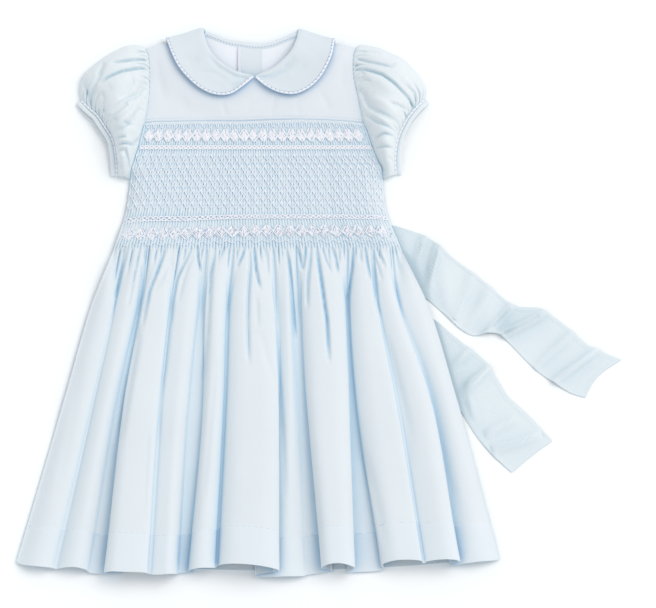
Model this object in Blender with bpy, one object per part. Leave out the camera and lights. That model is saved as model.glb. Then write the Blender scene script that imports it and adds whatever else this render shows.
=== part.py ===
"""Toddler's smocked cotton dress, size 2 to 3, laid flat on its back with both sash ties out to one side.

Every piece that is cut and sewn is its own closed wall of cloth. Tables are in millimetres of the
garment: x across from the centre front, d down from the shoulder line, z up from the surface.
"""

import math

import bmesh
import bpy
import numpy as np

# Driving dimensions, millimetres
CLOTH = 1.1                 # one thickness of the blue cotton, as a wall
HALF = CLOTH / 2
LINING = 0.9                # white lawn lining and the thin strips
GAP = 0.3                   # between pieces at a seam
MITRE = 1.4                 # most that a wall is widened where it turns sharply
MIDDLE_X = 67.4             # middle of the laid-out footprint, from the centre front
MIDDLE_D = 265.0            # and from the shoulder line
UNDERARM = 137.0
WAIST = 207.9               # foot of the smocking
SKIRT_END = 540.0           # mean hem
CROWN = 8.0                 # how far the front bodice stands above the back
ROLL_OFF = 22.0             # width over which it comes down at a closed side
NECK_CENTRE = (-1.5, -40.0)
COLLAR_LIFT = 2.6           # the back yokes lie over the collar's back lobes
TIE_LIFT = 1.4              # the back skirt lies over the left sash tie
BACK_INSET = 3.4            # of the back skirt inside the front one at a closed side

PLEATS = 96
PLEAT_HEIGHT = 1.7
GATHER_HEIGHT = 1.6         # zigzag of the gathers where they are fullest
GATHER_SLOPE = 0.4          # and the most of it to a step across
FEET_APART = 0.9            # half the space between the feet of two folds side by side
FOOT_SPREAD = 4.0
SIDE_FOOT = 2.0             # from the outermost fold's edge out to the closed side
TIE_CLEARANCE = 1.8         # the front skirt stands this much higher over the left tie
PIPING = 1.1                # radius round the collar
CUFF_PIPING = 1.0           # radius round a cuff
CUFF_PIPING_AT = 2.0        # from the cuff seam to the middle of its piping
CUFF_WIDTH = 4.8            # of the binding beyond the piping
CUFF_LOW = 2.5              # front of a flattened cuff at its folded sides
CUFF_RISE = 8.0             # and how much higher between them
PUFF = 25.0                 # extra height of a sleeve between cap and cuff
HIDDEN = 3.8                # of a yoke's neck edge, back from the roll of the collar
ARM_SEAM = 1.3              # from the armhole line to the sleeve's own edge

BLUE = (0.60, 0.76, 0.88, 1.0)
WHITE = (0.86, 0.88, 0.93, 1.0)

# Closed side edges, from the underarm to the hem
SIDE_DEPTHS = (137, 170, 206, 255, 300, 366, 448, 530)
SIDE_EDGE = {
    "left": (-122, -126.5, -137.5, -156, -169.5, -187, -210, -231.5),
    "right": (131, 134.7, 148, 170.5, 185.5, 204, 227, 245),
}

# Outlines of the bodice, (x, d)
SHOULDER = {
    "left": ((-107.4, 2.4), (-93, -2.0), (-72, -5.6), (-52, -10.5)),
    "right": ((103.4, 2.4), (90, -2.0), (70, -5.6), (48.5, -10.0)),
}
ARMHOLE = {
    "left": ((-107.4, 2.4), (-103.6, 12), (-102.4, 35), (-103.4, 56), (-106, 73), (-107.6, 80.6),
             (-110, 89), (-114, 106), (-118, 119), (-121.4, 131), (-122, 137)),
    "right": ((103.4, 2.4), (101, 12.7), (101, 30), (104, 46), (108, 64.5), (111.4, 80.6),
              (115, 89.4), (120, 104), (125, 118), (130, 128.5), (131, 137)),
}
BACK_NECK = ((-47, -17.5), (-36, -13.0), (-24, -8.3), (-12, -6.0), (-1, -4.2),
             (9, -4.0), (20, -6.0), (31, -10.6), (44.5, -16.5))
YOKE_SEAM = ((-107.6, 80.6), (-97, 79.5), (-49, 78.5), (-12, 79.0), (18, 77.8),
             (45, 76.8), (73, 77.5), (93, 78.8), (111.4, 80.6))
BUTTON_STAND = (-15.0, 9.0)     # left and right edge of the placket
BUTTON_DEPTHS = (18.0, 37.0, 56.0)
# A button turned about its middle, from the dished face that lies down: radius, z
BUTTON_PROFILE = ((0.0, 0.5), (2.6, 0.5), (3.4, 0.0), (4.6, 0.0), (5.0, 0.5), (5.0, 1.4), (4.4, 1.8))
BUTTON_SIDES = 12
# The neck binding, measured down from the back neck edge
BINDING = (0.6, 3.4, 6.4)

# Collar halves: neck fold and outer edge, over the front and then under the back
COLLAR = {
    "left": {
        "fold": ((-1, 32), (-15, 28.8), (-25.5, 23.1), (-36, 14.9), (-44, 3.5), (-47.3, -7), (-49, -16.5)),
        "edge": ((0.5, 34.2), (-10, 44.1), (-19, 51), (-33, 53.4), (-48.5, 48.2), (-61, 38.4),
                 (-72, 26), (-80.5, 9), (-84.5, -4)),
        "back fold": ((-47, -17), (-36, -12), (-24, -7.2), (-12, -5), (-8, -4.6)),
        "back edge": ((-84.5, -4), (-76, 17), (-58, 35), (-32, 39.5), (-15.5, 24)),
    },
    "right": {
        "fold": ((4, 32.4), (8, 30.6), (19, 25.7), (30, 16.9), (39, 6.6), (44, -4.8), (46, -15.5)),
        "edge": ((4.4, 35), (12, 42), (22, 48.6), (39, 52.4), (53, 48.2), (65, 38.4),
                 (73, 26), (79, 12), (81.5, -3)),
        "back fold": ((44.5, -16), (34, -10.6), (21, -5), (9, -3.0), (5, -2.8)),
        "back edge": ((81.5, -3), (74, 17), (56, 35), (30, 39.5), (12.5, 24)),
    },
}

# Puff sleeves: upper and lower outline from the armhole to the cuff, and the cuff seam
SLEEVE = {
    "left": {
        "upper": ((-107.4, 2.4), (-113, -0.9), (-125, -0.5), (-134, 3.7), (-144, 9.5), (-153, 16),
                  (-163, 24), (-168.5, 29.5), (-171.4, 37), (-172.6, 46), (-171.5, 55)),
        "lower": ((-122, 137), (-128, 136), (-135, 134)),
        "cuff": ((-171.5, 55), (-163, 64.5), (-155, 72), (-148.5, 82), (-142, 92), (-138.5, 100),
                 (-136.5, 110), (-135.5, 120), (-135, 134)),
    },
    "right": {
        "upper": ((103.4, 2.4), (108, -1.5), (116, -0.5), (128, 2.6), (139, 7.8), (151, 14),
                  (160, 22.8), (168, 31.6), (173, 40), (174.4, 46), (173, 54.2)),
        "lower": ((131, 137), (136.8, 136.1), (143.4, 132.4)),
        "cuff": ((173, 54.2), (164, 63.5), (156, 73.8), (151, 83), (147, 92), (144.6, 100.7),
                 (143, 111), (142.7, 121.5), (143.4, 132.4)),
    },
}

# Sash ties, (x, d) along the upper and the lower edge, from the side seam to the cut end
SASH = {
    "right": {
        "upper": ((138, 184), (153, 188.4), (177, 198.3), (199, 217), (223, 235.5), (243, 253),
                  (261, 267.5), (275, 269.8), (289, 271.4), (310.5, 286.3), (334, 308), (348, 315),
                  (369, 324)),
        "lower": ((169.2, 256.8), (179, 264.5), (196, 280), (209, 292.6), (222, 299), (236, 296.8),
                  (247, 298), (258, 307.5), (272, 322.5), (285, 335.4), (300, 346.5), (318, 358),
                  (333, 363)),
    },
    "left": {
        "upper": ((-131, 198.5), (-30, 227.5), (70, 255), (140, 270.5), (178, 280), (199, 297),
                  (215, 310), (231, 323.5), (243, 341), (256, 361.8), (272, 377.4), (300, 407.4)),
        "lower": ((-146.4, 247.5), (-50, 276), (50, 304), (120, 324), (168, 343), (196, 362),
                  (206, 373), (217, 391), (226, 405), (235, 416), (243, 425), (259.5, 440.5)),
    },
}
# Soft waves of each tie above the surface: share of its length, height, half width of the wave
SASH_WAVES = {
    "right": ((0.20, 2.6, 0.07), (0.42, 2.2, 0.05), (0.60, 7.0, 0.06), (0.84, 3.6, 0.07)),
    "left": ((0.81, 4.0, 0.035), (0.93, 2.6, 0.04)),
}

# Skirt folds, a row for each from left to right. Edges are the outer edges of the ridge at these depths.
FOLD_DEPTHS = (208, 255, 368, 530)
FOLD_EDGES = (
    (6, (-137.5, -154.0, -185.0, -229.5), (-128, -136, -160, -198)),
    (8, (-126, -133, -156, -190), (-106, -113, -137, -163)),
    (10, (-103, -108, -129, -149), (-74, -81, -93, -104)),
    (8, (-71, -78, -88, -98), (-46, -53, -65, -75)),
    (8, (-43, -46, -49, -64), (-20, -25, -29, -37)),
    (12, (-16, -20, -24, -31.5), (19, 21, 28, 30.5)),
    (8, (23, 27, 28, 9), (43, 43, 46, 54)),
    (12, (46, 49, 54, 67), (93, 93, 98, 104)),
    (8, (98, 98, 104, 126), (120, 123, 143, 168)),
    (8, (122, 126, 147, 172), (139, 143, 179, 209)),
    (6, (141, 147, 184, 203.5), (148, 168.5, 202.0, 243)),
)
# The same folds: ridge height and the valley to its right, in the upper skirt and at the hem;
# how far each foot is tucked under at the hem (0 lets it spread towards its neighbour); where the
# crest stands across the fold; how much of the height its left and right edge reach; hem depth at
# the left foot, crest and right foot.
SHAPE_COLUMNS = ("ridge_upper", "ridge_hem", "valley_upper", "valley_hem", "tuck_left", "tuck_right",
                 "crest", "steep_left", "steep_right", "hem_left", "hem_crest", "hem_right")
FOLD_SHAPES = (
    (9, 12, 6.5, 3.6, 0, 0, 0.55, 0.0, 0.45, 532, 540, 540),
    (12, 13, 4.0, 2.2, 0, 0, 0.50, 0.45, 0.50, 541, 540, 545),
    (13, 22, 9.0, 14.0, 24, 0, 0.45, 0.45, 0.80, 545, 548, 548),
    (13, 19, 4.0, 2.2, 0, 0, 0.45, 0.80, 0.55, 548, 550, 544),
    (14, 18, 5.0, 5.0, 8, 0, 0.55, 0.45, 0.45, 544, 543, 540),
    (15, 25, 5.0, 2.6, 0, 28, 0.45, 0.45, 0.50, 538, 541, 548),
    (12, 10, 4.0, 2.2, 0, 0, 0.70, 0.06, 0.35, 548, 550, 546),
    (14, 24, 4.0, 2.2, 14, 10, 0.45, 0.45, 0.50, 543, 539, 544),
    (14, 19, 8.0, 13.0, 5, 0, 0.45, 0.50, 0.85, 542, 534, 537),
    (13, 21, 7.0, 2.8, 0, 14, 0.50, 0.85, 0.45, 537, 534, 537),
    (9, 11, 2.2, 2.2, 0, 0, 0.40, 0.15, 0.0, 537, 535, 529),
)
SKIRT_ROWS = (212, 218.5, 228, 242, 260, 286, 322, 368, 422, 484, 540)

# Rows of the smocking: depth, height of the pleats, row of the diamond lattice (-1 where none)
SMOCK_ROWS = (
    [(81.4, 0.0, -1), (94.6, 0.8, 0)]
    + [(114.0 + 6.29 * row, 1.0, row + 1) for row in range(10)]
    + [(182.0, 0.45, -1), (193.4, 0.85, 0), (WAIST, 0.9, -1)]
)


# ---- tools that every piece shares -------------------------------------------------------------

def fade(value, start, end):
    """1 before start, 0 after end, smooth between."""
    share = min(max((value - start) / (end - start), 0.0), 1.0)
    return 1.0 - share * share * (3.0 - 2.0 * share)


def read(knots, values, where):
    """Smooth value of a table at one place."""
    slopes = np.gradient(np.array(values, float), np.array(knots, float))
    index = int(np.clip(np.searchsorted(knots, where) - 1, 0, len(knots) - 2))
    span = knots[index + 1] - knots[index]
    share = (where - knots[index]) / span
    start, end = values[index], values[index + 1]
    if share <= 0.0 or share >= 1.0:
        return start + (end - start) * share
    square, cube = share ** 2, share ** 3
    return (start * (2 * cube - 3 * square + 1) + end * (3 * square - 2 * cube)
            + span * (slopes[index] * (cube - 2 * square + share) + slopes[index + 1] * (cube - square)))


def smooth_path(points, shares):
    """Places at the given shares of the length of a smooth curve through the points."""
    points = np.array(points, float)
    padded = np.vstack([2 * points[0] - points[1], points, 2 * points[-1] - points[-2]])
    fine = []
    for before, start, end, after in zip(padded, padded[1:], padded[2:], padded[3:]):
        for t in np.linspace(0, 1, 10, endpoint=False):
            fine.append(0.5 * (2 * start + (end - before) * t
                               + (2 * before - 5 * start + 4 * end - after) * t ** 2
                               + (3 * start - before - 3 * end + after) * t ** 3))
    fine = np.array(fine + [points[-1]])
    run = np.concatenate([[0], np.cumsum(np.linalg.norm(np.diff(fine, axis=0), axis=1))])
    where = np.array(shares) * run[-1]
    return np.column_stack([np.interp(where, run, column) for column in fine.T])


def even(cells):
    return np.linspace(0.0, 1.0, cells + 1)


def sideways(curve):
    """Unit normals of a plan curve, to the right of its direction of travel in (x, d)."""
    along = np.gradient(np.array(curve, float), axis=0)
    normals = np.column_stack([along[:, 1], -along[:, 0]])
    return normals / np.linalg.norm(normals, axis=1)[:, None]


def moved(curve, distance):
    """A plan curve moved sideways in its own plane."""
    return np.array(curve, float) + sideways(curve) * distance


def fill(top, bottom, left, right, across, down):
    """Plan grid between four edges that share their corners: a row for each share in down."""
    rows = []
    for index, share in enumerate(down):
        straight = top + (bottom - top) * share
        pull_left = left[index] - straight[0]
        pull_right = right[index] - straight[-1]
        rows.append(straight + np.outer(1 - across, pull_left) + np.outer(across, pull_right))
    return rows


def with_height(rows, height):
    """Plan rows made into a surface, height(x, d) above the floor."""
    return [np.array([(x, d, height(x, d)) for x, d in row]) for row in rows]


def two_faces(rows, half=HALF, around=False):
    """The face and the back of a cloth wall, half a thickness either side of its middle surface."""
    grid = np.array(rows)
    steps = np.roll(grid, -1, axis=1) - grid
    if not around:
        steps[:, -1] = steps[:, -2]
    steps /= np.linalg.norm(steps, axis=2)[:, :, None]
    before = np.roll(steps, 1, axis=1)
    if not around:
        before[:, 0] = steps[:, 0]
    across = steps + before
    mitre = np.minimum(MITRE, 2.0 / np.linalg.norm(across, axis=2))
    normal = np.cross(across, np.gradient(grid, axis=0))
    normal *= (half * mitre / np.linalg.norm(normal, axis=2))[:, :, None]
    return grid + normal, grid - normal


def raised(rows, distance):
    """A surface lifted straight up."""
    return [np.array(row) + np.array([0.0, 0.0, distance]) for row in rows]


def zip_rows(upper, lower, points):
    """Triangles between two rows of point numbers, which may differ in count."""
    def shares(row):
        plan = np.array([points[number][:2] for number in row])
        steps = np.linalg.norm(np.diff(plan, axis=0), axis=1)
        if len(upper) == len(lower) or steps.sum() < 1e-6:
            steps = np.ones(len(row) - 1)
        return np.concatenate([[0], np.cumsum(steps) / steps.sum()])

    upper_share, lower_share = shares(upper), shares(lower)
    faces = []
    i = j = 0
    while i < len(upper) - 1 or j < len(lower) - 1:
        next_upper = upper_share[i + 1] if i < len(upper) - 1 else 2.0
        next_lower = lower_share[j + 1] if j < len(lower) - 1 else 2.0
        if next_lower <= next_upper:
            faces.append((upper[i], lower[j], lower[j + 1]))
            j += 1
        else:
            faces.append((upper[i], lower[j], upper[i + 1]))
            i += 1
    return faces


def cotton(name, colour):
    """Principled material of one of the dress's fabrics."""
    material = bpy.data.materials.new(name)
    material.use_nodes = True
    shader = material.node_tree.nodes["Principled BSDF"]
    shader.inputs["Base Color"].default_value = colour
    shader.inputs["Roughness"].default_value = 0.85
    shader.inputs["Metallic"].default_value = 0.0
    return material


def add_solid(name, points, faces, colour):
    """One named object from points in garment millimetres and triangles, its faces pointing out."""
    mesh = bpy.data.meshes.new(name)
    metres = [((x - MIDDLE_X) / 1000, (MIDDLE_D - d) / 1000, z / 1000) for x, d, z in points]
    mesh.from_pydata(metres, [], faces)
    shell = bmesh.new()
    shell.from_mesh(mesh)
    bmesh.ops.recalc_face_normals(shell, faces=shell.faces)
    shell.to_mesh(mesh)
    shell.free()
    mesh.shade_smooth()
    mesh.set_sharp_from_angle(angle=math.radians(50))
    mesh.materials.append(cotton(name, colour))
    piece = bpy.data.objects.new(name, mesh)
    bpy.context.collection.objects.link(piece)
    return piece


def cloth_wall(name, face, back, colour=BLUE, around=False):
    """A closed wall between two stacks of rows. Rows go round for a tube that is open at both ends."""
    points, faces = [], []

    def number(rows):
        stack = []
        for row in rows:
            first = len(points)
            points.extend(tuple(point) for point in row)
            numbers = list(range(first, first + len(row)))
            stack.append(numbers + numbers[:1] if around else numbers)
        return stack

    face_rows, back_rows = number(face), number(back)
    for stack in (face_rows, back_rows):
        for upper, lower in zip(stack, stack[1:]):
            faces += zip_rows(upper, lower, points)
    for end in (0, -1):
        faces += zip_rows(face_rows[end], back_rows[end], points)
    if not around:
        for side in (0, -1):
            faces += zip_rows([row[side] for row in face_rows], [row[side] for row in back_rows], points)
    return add_solid(name, points, faces, colour)


def piping_cord(name, path, outward, radius, sides, closed, colour=WHITE):
    """A round cord along a path; outward gives a direction across it at every point."""
    path = np.array(path, float)
    outward = np.array(outward, float)
    along = np.roll(path, -1, axis=0) - np.roll(path, 1, axis=0) if closed else np.gradient(path, axis=0)
    along /= np.linalg.norm(along, axis=1)[:, None]
    outward -= along * np.sum(outward * along, axis=1)[:, None]
    outward /= np.linalg.norm(outward, axis=1)[:, None]
    other = np.cross(along, outward)
    points, faces, rings = [], [], []
    for centre, first, second in zip(path, outward, other):
        start = len(points)
        for side in range(sides):
            angle = 2 * math.pi * (side + 0.5) / sides
            points.append(tuple(centre + radius * (math.cos(angle) * first + math.sin(angle) * second)))
        rings.append(list(range(start, start + sides)))
    pairs = list(zip(rings, rings[1:]))
    if closed:
        pairs.append((rings[-1], rings[0]))
    for ring, following in pairs:
        for side in range(sides):
            turn = (side + 1) % sides
            faces.append((ring[side], following[side], following[turn]))
            faces.append((ring[side], following[turn], ring[turn]))
    if not closed:
        for ring in (rings[0], rings[-1]):
            faces += [(ring[0], ring[side], ring[side + 1]) for side in range(1, sides - 1)]
    return add_solid(name, points, faces, colour)


# ---- heights of the laid-out layers ------------------------------------------------------------

def side_edge(side, d):
    return read(SIDE_DEPTHS, SIDE_EDGE[side], d)


TIE_UPPER = smooth_path(SASH["left"]["upper"], even(60))
TIE_LOWER = smooth_path(SASH["left"]["lower"], even(60))


def tie_edges(x):
    """Upper and lower edge, at x, of the corridor where the left tie passes under the back."""
    return (float(np.interp(x, TIE_UPPER[:, 0], TIE_UPPER[:, 1])),
            float(np.interp(x, TIE_LOWER[:, 0], TIE_LOWER[:, 1])))


def lift(x, d):
    """Height of the underside of the back: it lies over the collar's lobes, the buttons and the tie."""
    from_neck = math.hypot(x - NECK_CENTRE[0], d - NECK_CENTRE[1])
    upper, lower = tie_edges(x)
    beyond_tie = max(upper - d, d - lower)
    return max(COLLAR_LIFT * fade(from_neck, 104, 126), TIE_LIFT * fade(beyond_tie, 3, 18))


def back_height(x, d):
    return lift(x, d) + HALF


def round_off(distance):
    """0 at a closed edge, rising to 1 over the roll-off width."""
    share = min(max(distance / ROLL_OFF, 0.0), 1.0)
    return 1.0 - (1.0 - share) ** 2


def front_height(x, d):
    """Middle surface of the front bodice: crowned, and brought down at shoulders and side seams."""
    shoulder = 2.4 - 0.24 * (105.0 - min(abs(x + 1.5), 105.0))
    side = "left" if x < 0 else "right"
    to_side = abs(side_edge(side, max(d, UNDERARM)) - x) + 1.2 * max(0.0, UNDERARM - d)
    closed = CLOTH + GAP + HALF + 0.15
    return closed + lift(x, d) + CROWN * round_off(d - shoulder) * round_off(to_side)


# ---- back --------------------------------------------------------------------------------------

def back_yokes():
    """Two back yokes, their white linings, the placket between them and the neck binding."""
    neck_edge = moved(smooth_path(BACK_NECK, even(60)), -HIDDEN)
    stand_left, stand_right = BUTTON_STAND
    down = np.array([0.0, 0.065, 0.25, 0.5, 0.75, 1.0])
    seam = np.array(YOKE_SEAM)

    def neck_at(x):
        return (x, float(np.interp(x, neck_edge[:, 0], neck_edge[:, 1])))

    def yoke_grid(side, inner_xs, edge_x):
        shoulder = smooth_path(SHOULDER[side], np.array([0.0, 0.08, 0.4, 0.7]))
        top = np.array(list(shoulder) + [neck_at(x) for x in inner_xs])
        across = (top[:, 0] - top[0, 0]) / (top[-1, 0] - top[0, 0])
        foot_x = ARMHOLE[side][5][0] + (edge_x - ARMHOLE[side][5][0]) * across
        bottom = np.column_stack([foot_x, np.interp(foot_x, seam[:, 0], seam[:, 1])])
        arm = smooth_path(ARMHOLE[side][:6], down)
        inner_depths = top[-1, 1] + (bottom[-1, 1] - top[-1, 1]) * down
        inner = np.column_stack([np.full(len(down), edge_x), inner_depths])
        return with_height(fill(top, bottom, arm, inner, across, down), back_height)

    yokes = {
        "left": yoke_grid("left", (-47, -38, -27, stand_left, stand_right - GAP), stand_right - GAP),
        "right": yoke_grid("right", (44, 36, 27, 18, stand_right), stand_right),
    }
    above = HALF + GAP + LINING / 2
    for side, rows in yokes.items():
        cloth_wall("back_yoke_" + side, *two_faces(rows))
        raised_rows = raised(rows[1:], above)
        if side == "left":
            lining = [row[1:-1].copy() for row in raised_rows]
            edge_x = stand_left - 2 * GAP
        else:
            lining = [row[1:].copy() for row in raised_rows]
            edge_x = stand_right + GAP
        for row in lining:
            row[-1, 0] = edge_x
        cloth_wall("back_lining_" + side, *two_faces(lining, LINING / 2), colour=WHITE)

    strip = [row[-2:] for row in raised(yokes["left"][1:], above)]
    cloth_wall("back_placket", *two_faces(strip, LINING / 2))

    along = smooth_path(BACK_NECK, np.linspace(0.03, 0.97, 11))
    binding = [moved(along, -offset) for offset in BINDING]
    height = COLLAR_LIFT + CLOTH + GAP + LINING / 2
    cloth_wall("neck_binding", *two_faces(with_height(binding, lambda x, d: height), LINING / 2))


def back_skirt():
    """The back panel below the yokes: flat, lifted only over the tie that passes beneath it."""
    seam = np.array(YOKE_SEAM) + np.array([0.0, GAP + 0.1])

    def edge(side, d):
        if d <= UNDERARM:
            arm = smooth_path(ARMHOLE[side][5:], even(20))
            return float(np.interp(d, arm[:, 1], arm[:, 0]))
        inset = BACK_INSET * min(1.0, (d - UNDERARM) / 40)
        return side_edge(side, d) + (inset if side == "left" else -inset)

    def line(depth_of):
        """A row across the panel where depth_of(x) gives its depth."""
        ends = []
        for side in ("left", "right"):
            x = edge(side, 200)
            for _ in range(6):
                x = edge(side, depth_of(x))
            ends.append(x)
        row = []
        for x in np.linspace(ends[0], ends[1], 15):
            row.append((x, depth_of(x), back_height(x, depth_of(x))))
        return np.array(row)

    def above_tie(share):
        """Row between the underarms and the foot of the slope up to the tie."""
        return lambda x: (137.0 + 0.06 * x) * (1 - share) + (tie_edges(x)[0] - 18) * share

    depths = [
        lambda x: float(np.interp(x, seam[:, 0], seam[:, 1])),
        lambda x: 108.0 + 0.02 * x,
        above_tie(0.0),
        above_tie(0.35),
        above_tie(0.7),
        above_tie(1.0),
        lambda x: tie_edges(x)[0] - 3,
        lambda x: tie_edges(x)[1] + 3,
        lambda x: tie_edges(x)[1] + 18,
        lambda x: 440.0 + 0.05 * x,
        lambda x: 541.0 - 0.00026 * (x - 20) ** 2,
    ]
    cloth_wall("back_skirt", *two_faces([line(depth_of) for depth_of in depths]))


def buttons():
    """Three flat buttons on the outside of the back placket."""
    for number, depth in enumerate(BUTTON_DEPTHS, start=1):
        middle = NECK_CENTRE[0]
        points = [(middle, depth, BUTTON_PROFILE[0][1]), (middle, depth, BUTTON_PROFILE[-1][1])]
        rings = []
        for radius, z in BUTTON_PROFILE[1:]:
            start = len(points)
            for side in range(BUTTON_SIDES):
                angle = 2 * math.pi * side / BUTTON_SIDES
                points.append((middle + radius * math.cos(angle), depth + radius * math.sin(angle), z))
            rings.append(list(range(start, start + BUTTON_SIDES)))
        faces = []
        for side in range(BUTTON_SIDES):
            turn = (side + 1) % BUTTON_SIDES
            faces.append((0, rings[0][side], rings[0][turn]))
            faces.append((1, rings[-1][side], rings[-1][turn]))
            for ring, following in zip(rings, rings[1:]):
                faces.append((ring[side], following[side], following[turn]))
                faces.append((ring[side], following[turn], ring[turn]))
        add_solid("button_%d" % number, points, faces, WHITE)


# ---- front -------------------------------------------------------------------------------------

def front_yoke():
    """Plain yoke: shoulders, a neck edge hidden under the collar, and the seam above the smocking."""
    left = smooth_path(SHOULDER["left"], even(3))
    right = smooth_path(SHOULDER["right"], even(3))[::-1]
    neck_left = moved(smooth_path(COLLAR["left"]["fold"], even(6)), HIDDEN)[::-1]
    neck_right = moved(smooth_path(COLLAR["right"]["fold"], even(6)), -HIDDEN)
    top = np.vstack([left[:-1], neck_left[1:], neck_right[:-1], right[1:]])
    across = (top[:, 0] - top[0, 0]) / (top[-1, 0] - top[0, 0])
    seam = np.array(YOKE_SEAM)
    foot_x = seam[0, 0] + (seam[-1, 0] - seam[0, 0]) * across
    bottom = np.column_stack([foot_x, np.interp(foot_x, seam[:, 0], seam[:, 1])])
    down = np.array([0.0, 0.12, 0.3, 0.6, 1.0])
    arms = [smooth_path(ARMHOLE[side][:6], down) for side in ("left", "right")]
    rows = with_height(fill(top, bottom, arms[0], arms[1], across, down), front_height)
    cloth_wall("front_yoke", *two_faces(rows))


def front_edges(d):
    """Left and right edge of the front skirt panel at a depth."""
    ends = []
    for side in ("left", "right"):
        if d >= UNDERARM:
            ends.append(side_edge(side, d))
        else:
            arm = smooth_path(ARMHOLE[side][5:], even(20))
            ends.append(float(np.interp(d, arm[:, 1], arm[:, 0])))
    return ends


def pleat_relief(pleat, lattice):
    """Share of the pleat height, and sideways pull, of one pleat in one row of the diamonds."""
    if lattice < 0:
        return 1.0, 0.0
    across = 4 if lattice == 0 else 3
    turn = 2 * math.pi * (pleat - 1) / across + math.pi * lattice
    return 0.62 + 0.38 * math.cos(turn), -0.3 * math.sin(turn)


def smocked_rows():
    """Outer points of the smocking, a peak for each pleat, and the plain points inside it."""
    seam = np.array(YOKE_SEAM)
    outer = []
    for depth, height, lattice in SMOCK_ROWS:
        left, right = front_edges(depth)
        pitch = (right - left) / PLEATS
        row = []
        for column in range(2 * PLEATS + 1):
            x = left + pitch * column / 2
            d = depth
            if depth < 90:
                d = float(np.interp(x, seam[:, 0], seam[:, 1])) + GAP + 0.1
            share, pull = 0.0, 0.0
            if column % 2:
                share, pull = pleat_relief(column // 2, lattice)
            z = front_height(x, d) + HALF + PLEAT_HEIGHT * height * share
            row.append((x + pull * pitch, d, z))
        outer.append(np.array(row))
    inner = []
    for depth in (80.9, 112.0, 126.0, 140.0, 172.0, WAIST):
        left, right = front_edges(depth)
        row = []
        for x in np.linspace(left, right, 25):
            d = depth
            if depth < 90:
                d = float(np.interp(x, seam[:, 0], seam[:, 1])) + GAP + 0.1
            row.append((x, d, front_height(x, d) - HALF))
        inner.append(np.array(row))
    return outer, inner


def fold_feet(depth):
    """Feet of every fold across one row: tucked in under it, or spread to meet the next fold."""
    tucked = 1.0 - fade(depth, 300.0, 530.0)
    spread = 1.0 - fade(depth, WAIST, 275.0)
    edges = [[read(FOLD_DEPTHS, side, depth) for side in fold[1:]] for fold in FOLD_EDGES]
    tucks = [dict(zip(SHAPE_COLUMNS, shape)) for shape in FOLD_SHAPES]
    feet = [[left + tuck["tuck_left"] * tucked, right - tuck["tuck_right"] * tucked]
            for (left, right), tuck in zip(edges, tucks)]
    for index in range(len(feet) - 1):
        near, far = feet[index], feet[index + 1]
        room = min(max((far[0] - near[1]) / 2 - FEET_APART, 0.0), FOOT_SPREAD)
        if not tucks[index]["tuck_right"]:
            near[1] += spread * room
        if not tucks[index + 1]["tuck_left"]:
            far[0] -= spread * room
    feet[0][0] -= spread * SIDE_FOOT
    feet[-1][1] += spread * SIDE_FOOT
    return edges, feet


def fold_points(count, edges, feet, form, before, depth):
    """One fold of the skirt across one row: (x, z, hem depth) from its left foot to its right."""
    left, right = edges
    foot_left, foot_right = feet
    grown = 1.0 - fade(depth, WAIST, 275.0)
    fuller = 1.0 - fade(depth, 240.0, SKIRT_END)
    clear = TIE_CLEARANCE * fade(depth, 370.0, 420.0)

    def grow(upper, hem):
        return upper + (hem - upper) * fuller

    floor_left = grow(before["valley_upper"], before["valley_hem"]) + clear
    floor_right = grow(form["valley_upper"], form["valley_hem"]) + clear
    ridge = grow(form["ridge_upper"], form["ridge_hem"]) + clear

    def turn(foot, floor, tuck, edge):
        if tuck:
            return (foot + 0.15 * (edge[0] - foot), floor + min(2.6, 0.3 * (ridge - floor)))
        return (foot + 0.5 * (edge[0] - foot), floor + 0.25 * (edge[1] - floor))

    def over(share):
        crest = form["crest"]
        steep = form["steep_left"] if share < crest else form["steep_right"]
        reach = (crest - share) / crest if share < crest else (share - crest) / (1.0 - crest)
        floor = floor_left + (floor_right - floor_left) * share
        rise = steep + (1.0 - steep) * (1.0 - reach ** 2.2)
        return (left + (right - left) * share, floor + (ridge - floor) * rise)

    sides = 3 if count >= 8 else 2
    crest_points = count - 2 * sides
    line = [over(index / (crest_points + 1)) for index in range(crest_points + 2)]
    if sides == 3:
        line.insert(0, turn(foot_left, floor_left, form["tuck_left"], line[0]))
        line.append(turn(foot_right, floor_right, form["tuck_right"], line[-1]))
    line = [(foot_left, floor_left)] + line + [(foot_right, floor_right)]

    points = []
    for index, (x, z) in enumerate(line):
        share = index / (count - 1)
        crest_share = 1.0 - abs(2.0 * share - 1.0)
        foot_hem = form["hem_left"] if share < 0.5 else form["hem_right"]
        hem = foot_hem + (form["hem_crest"] - foot_hem) * crest_share
        even_x = left + (right - left) * share
        points.append((even_x + (x - even_x) * grown, z, hem))
    return points


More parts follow.
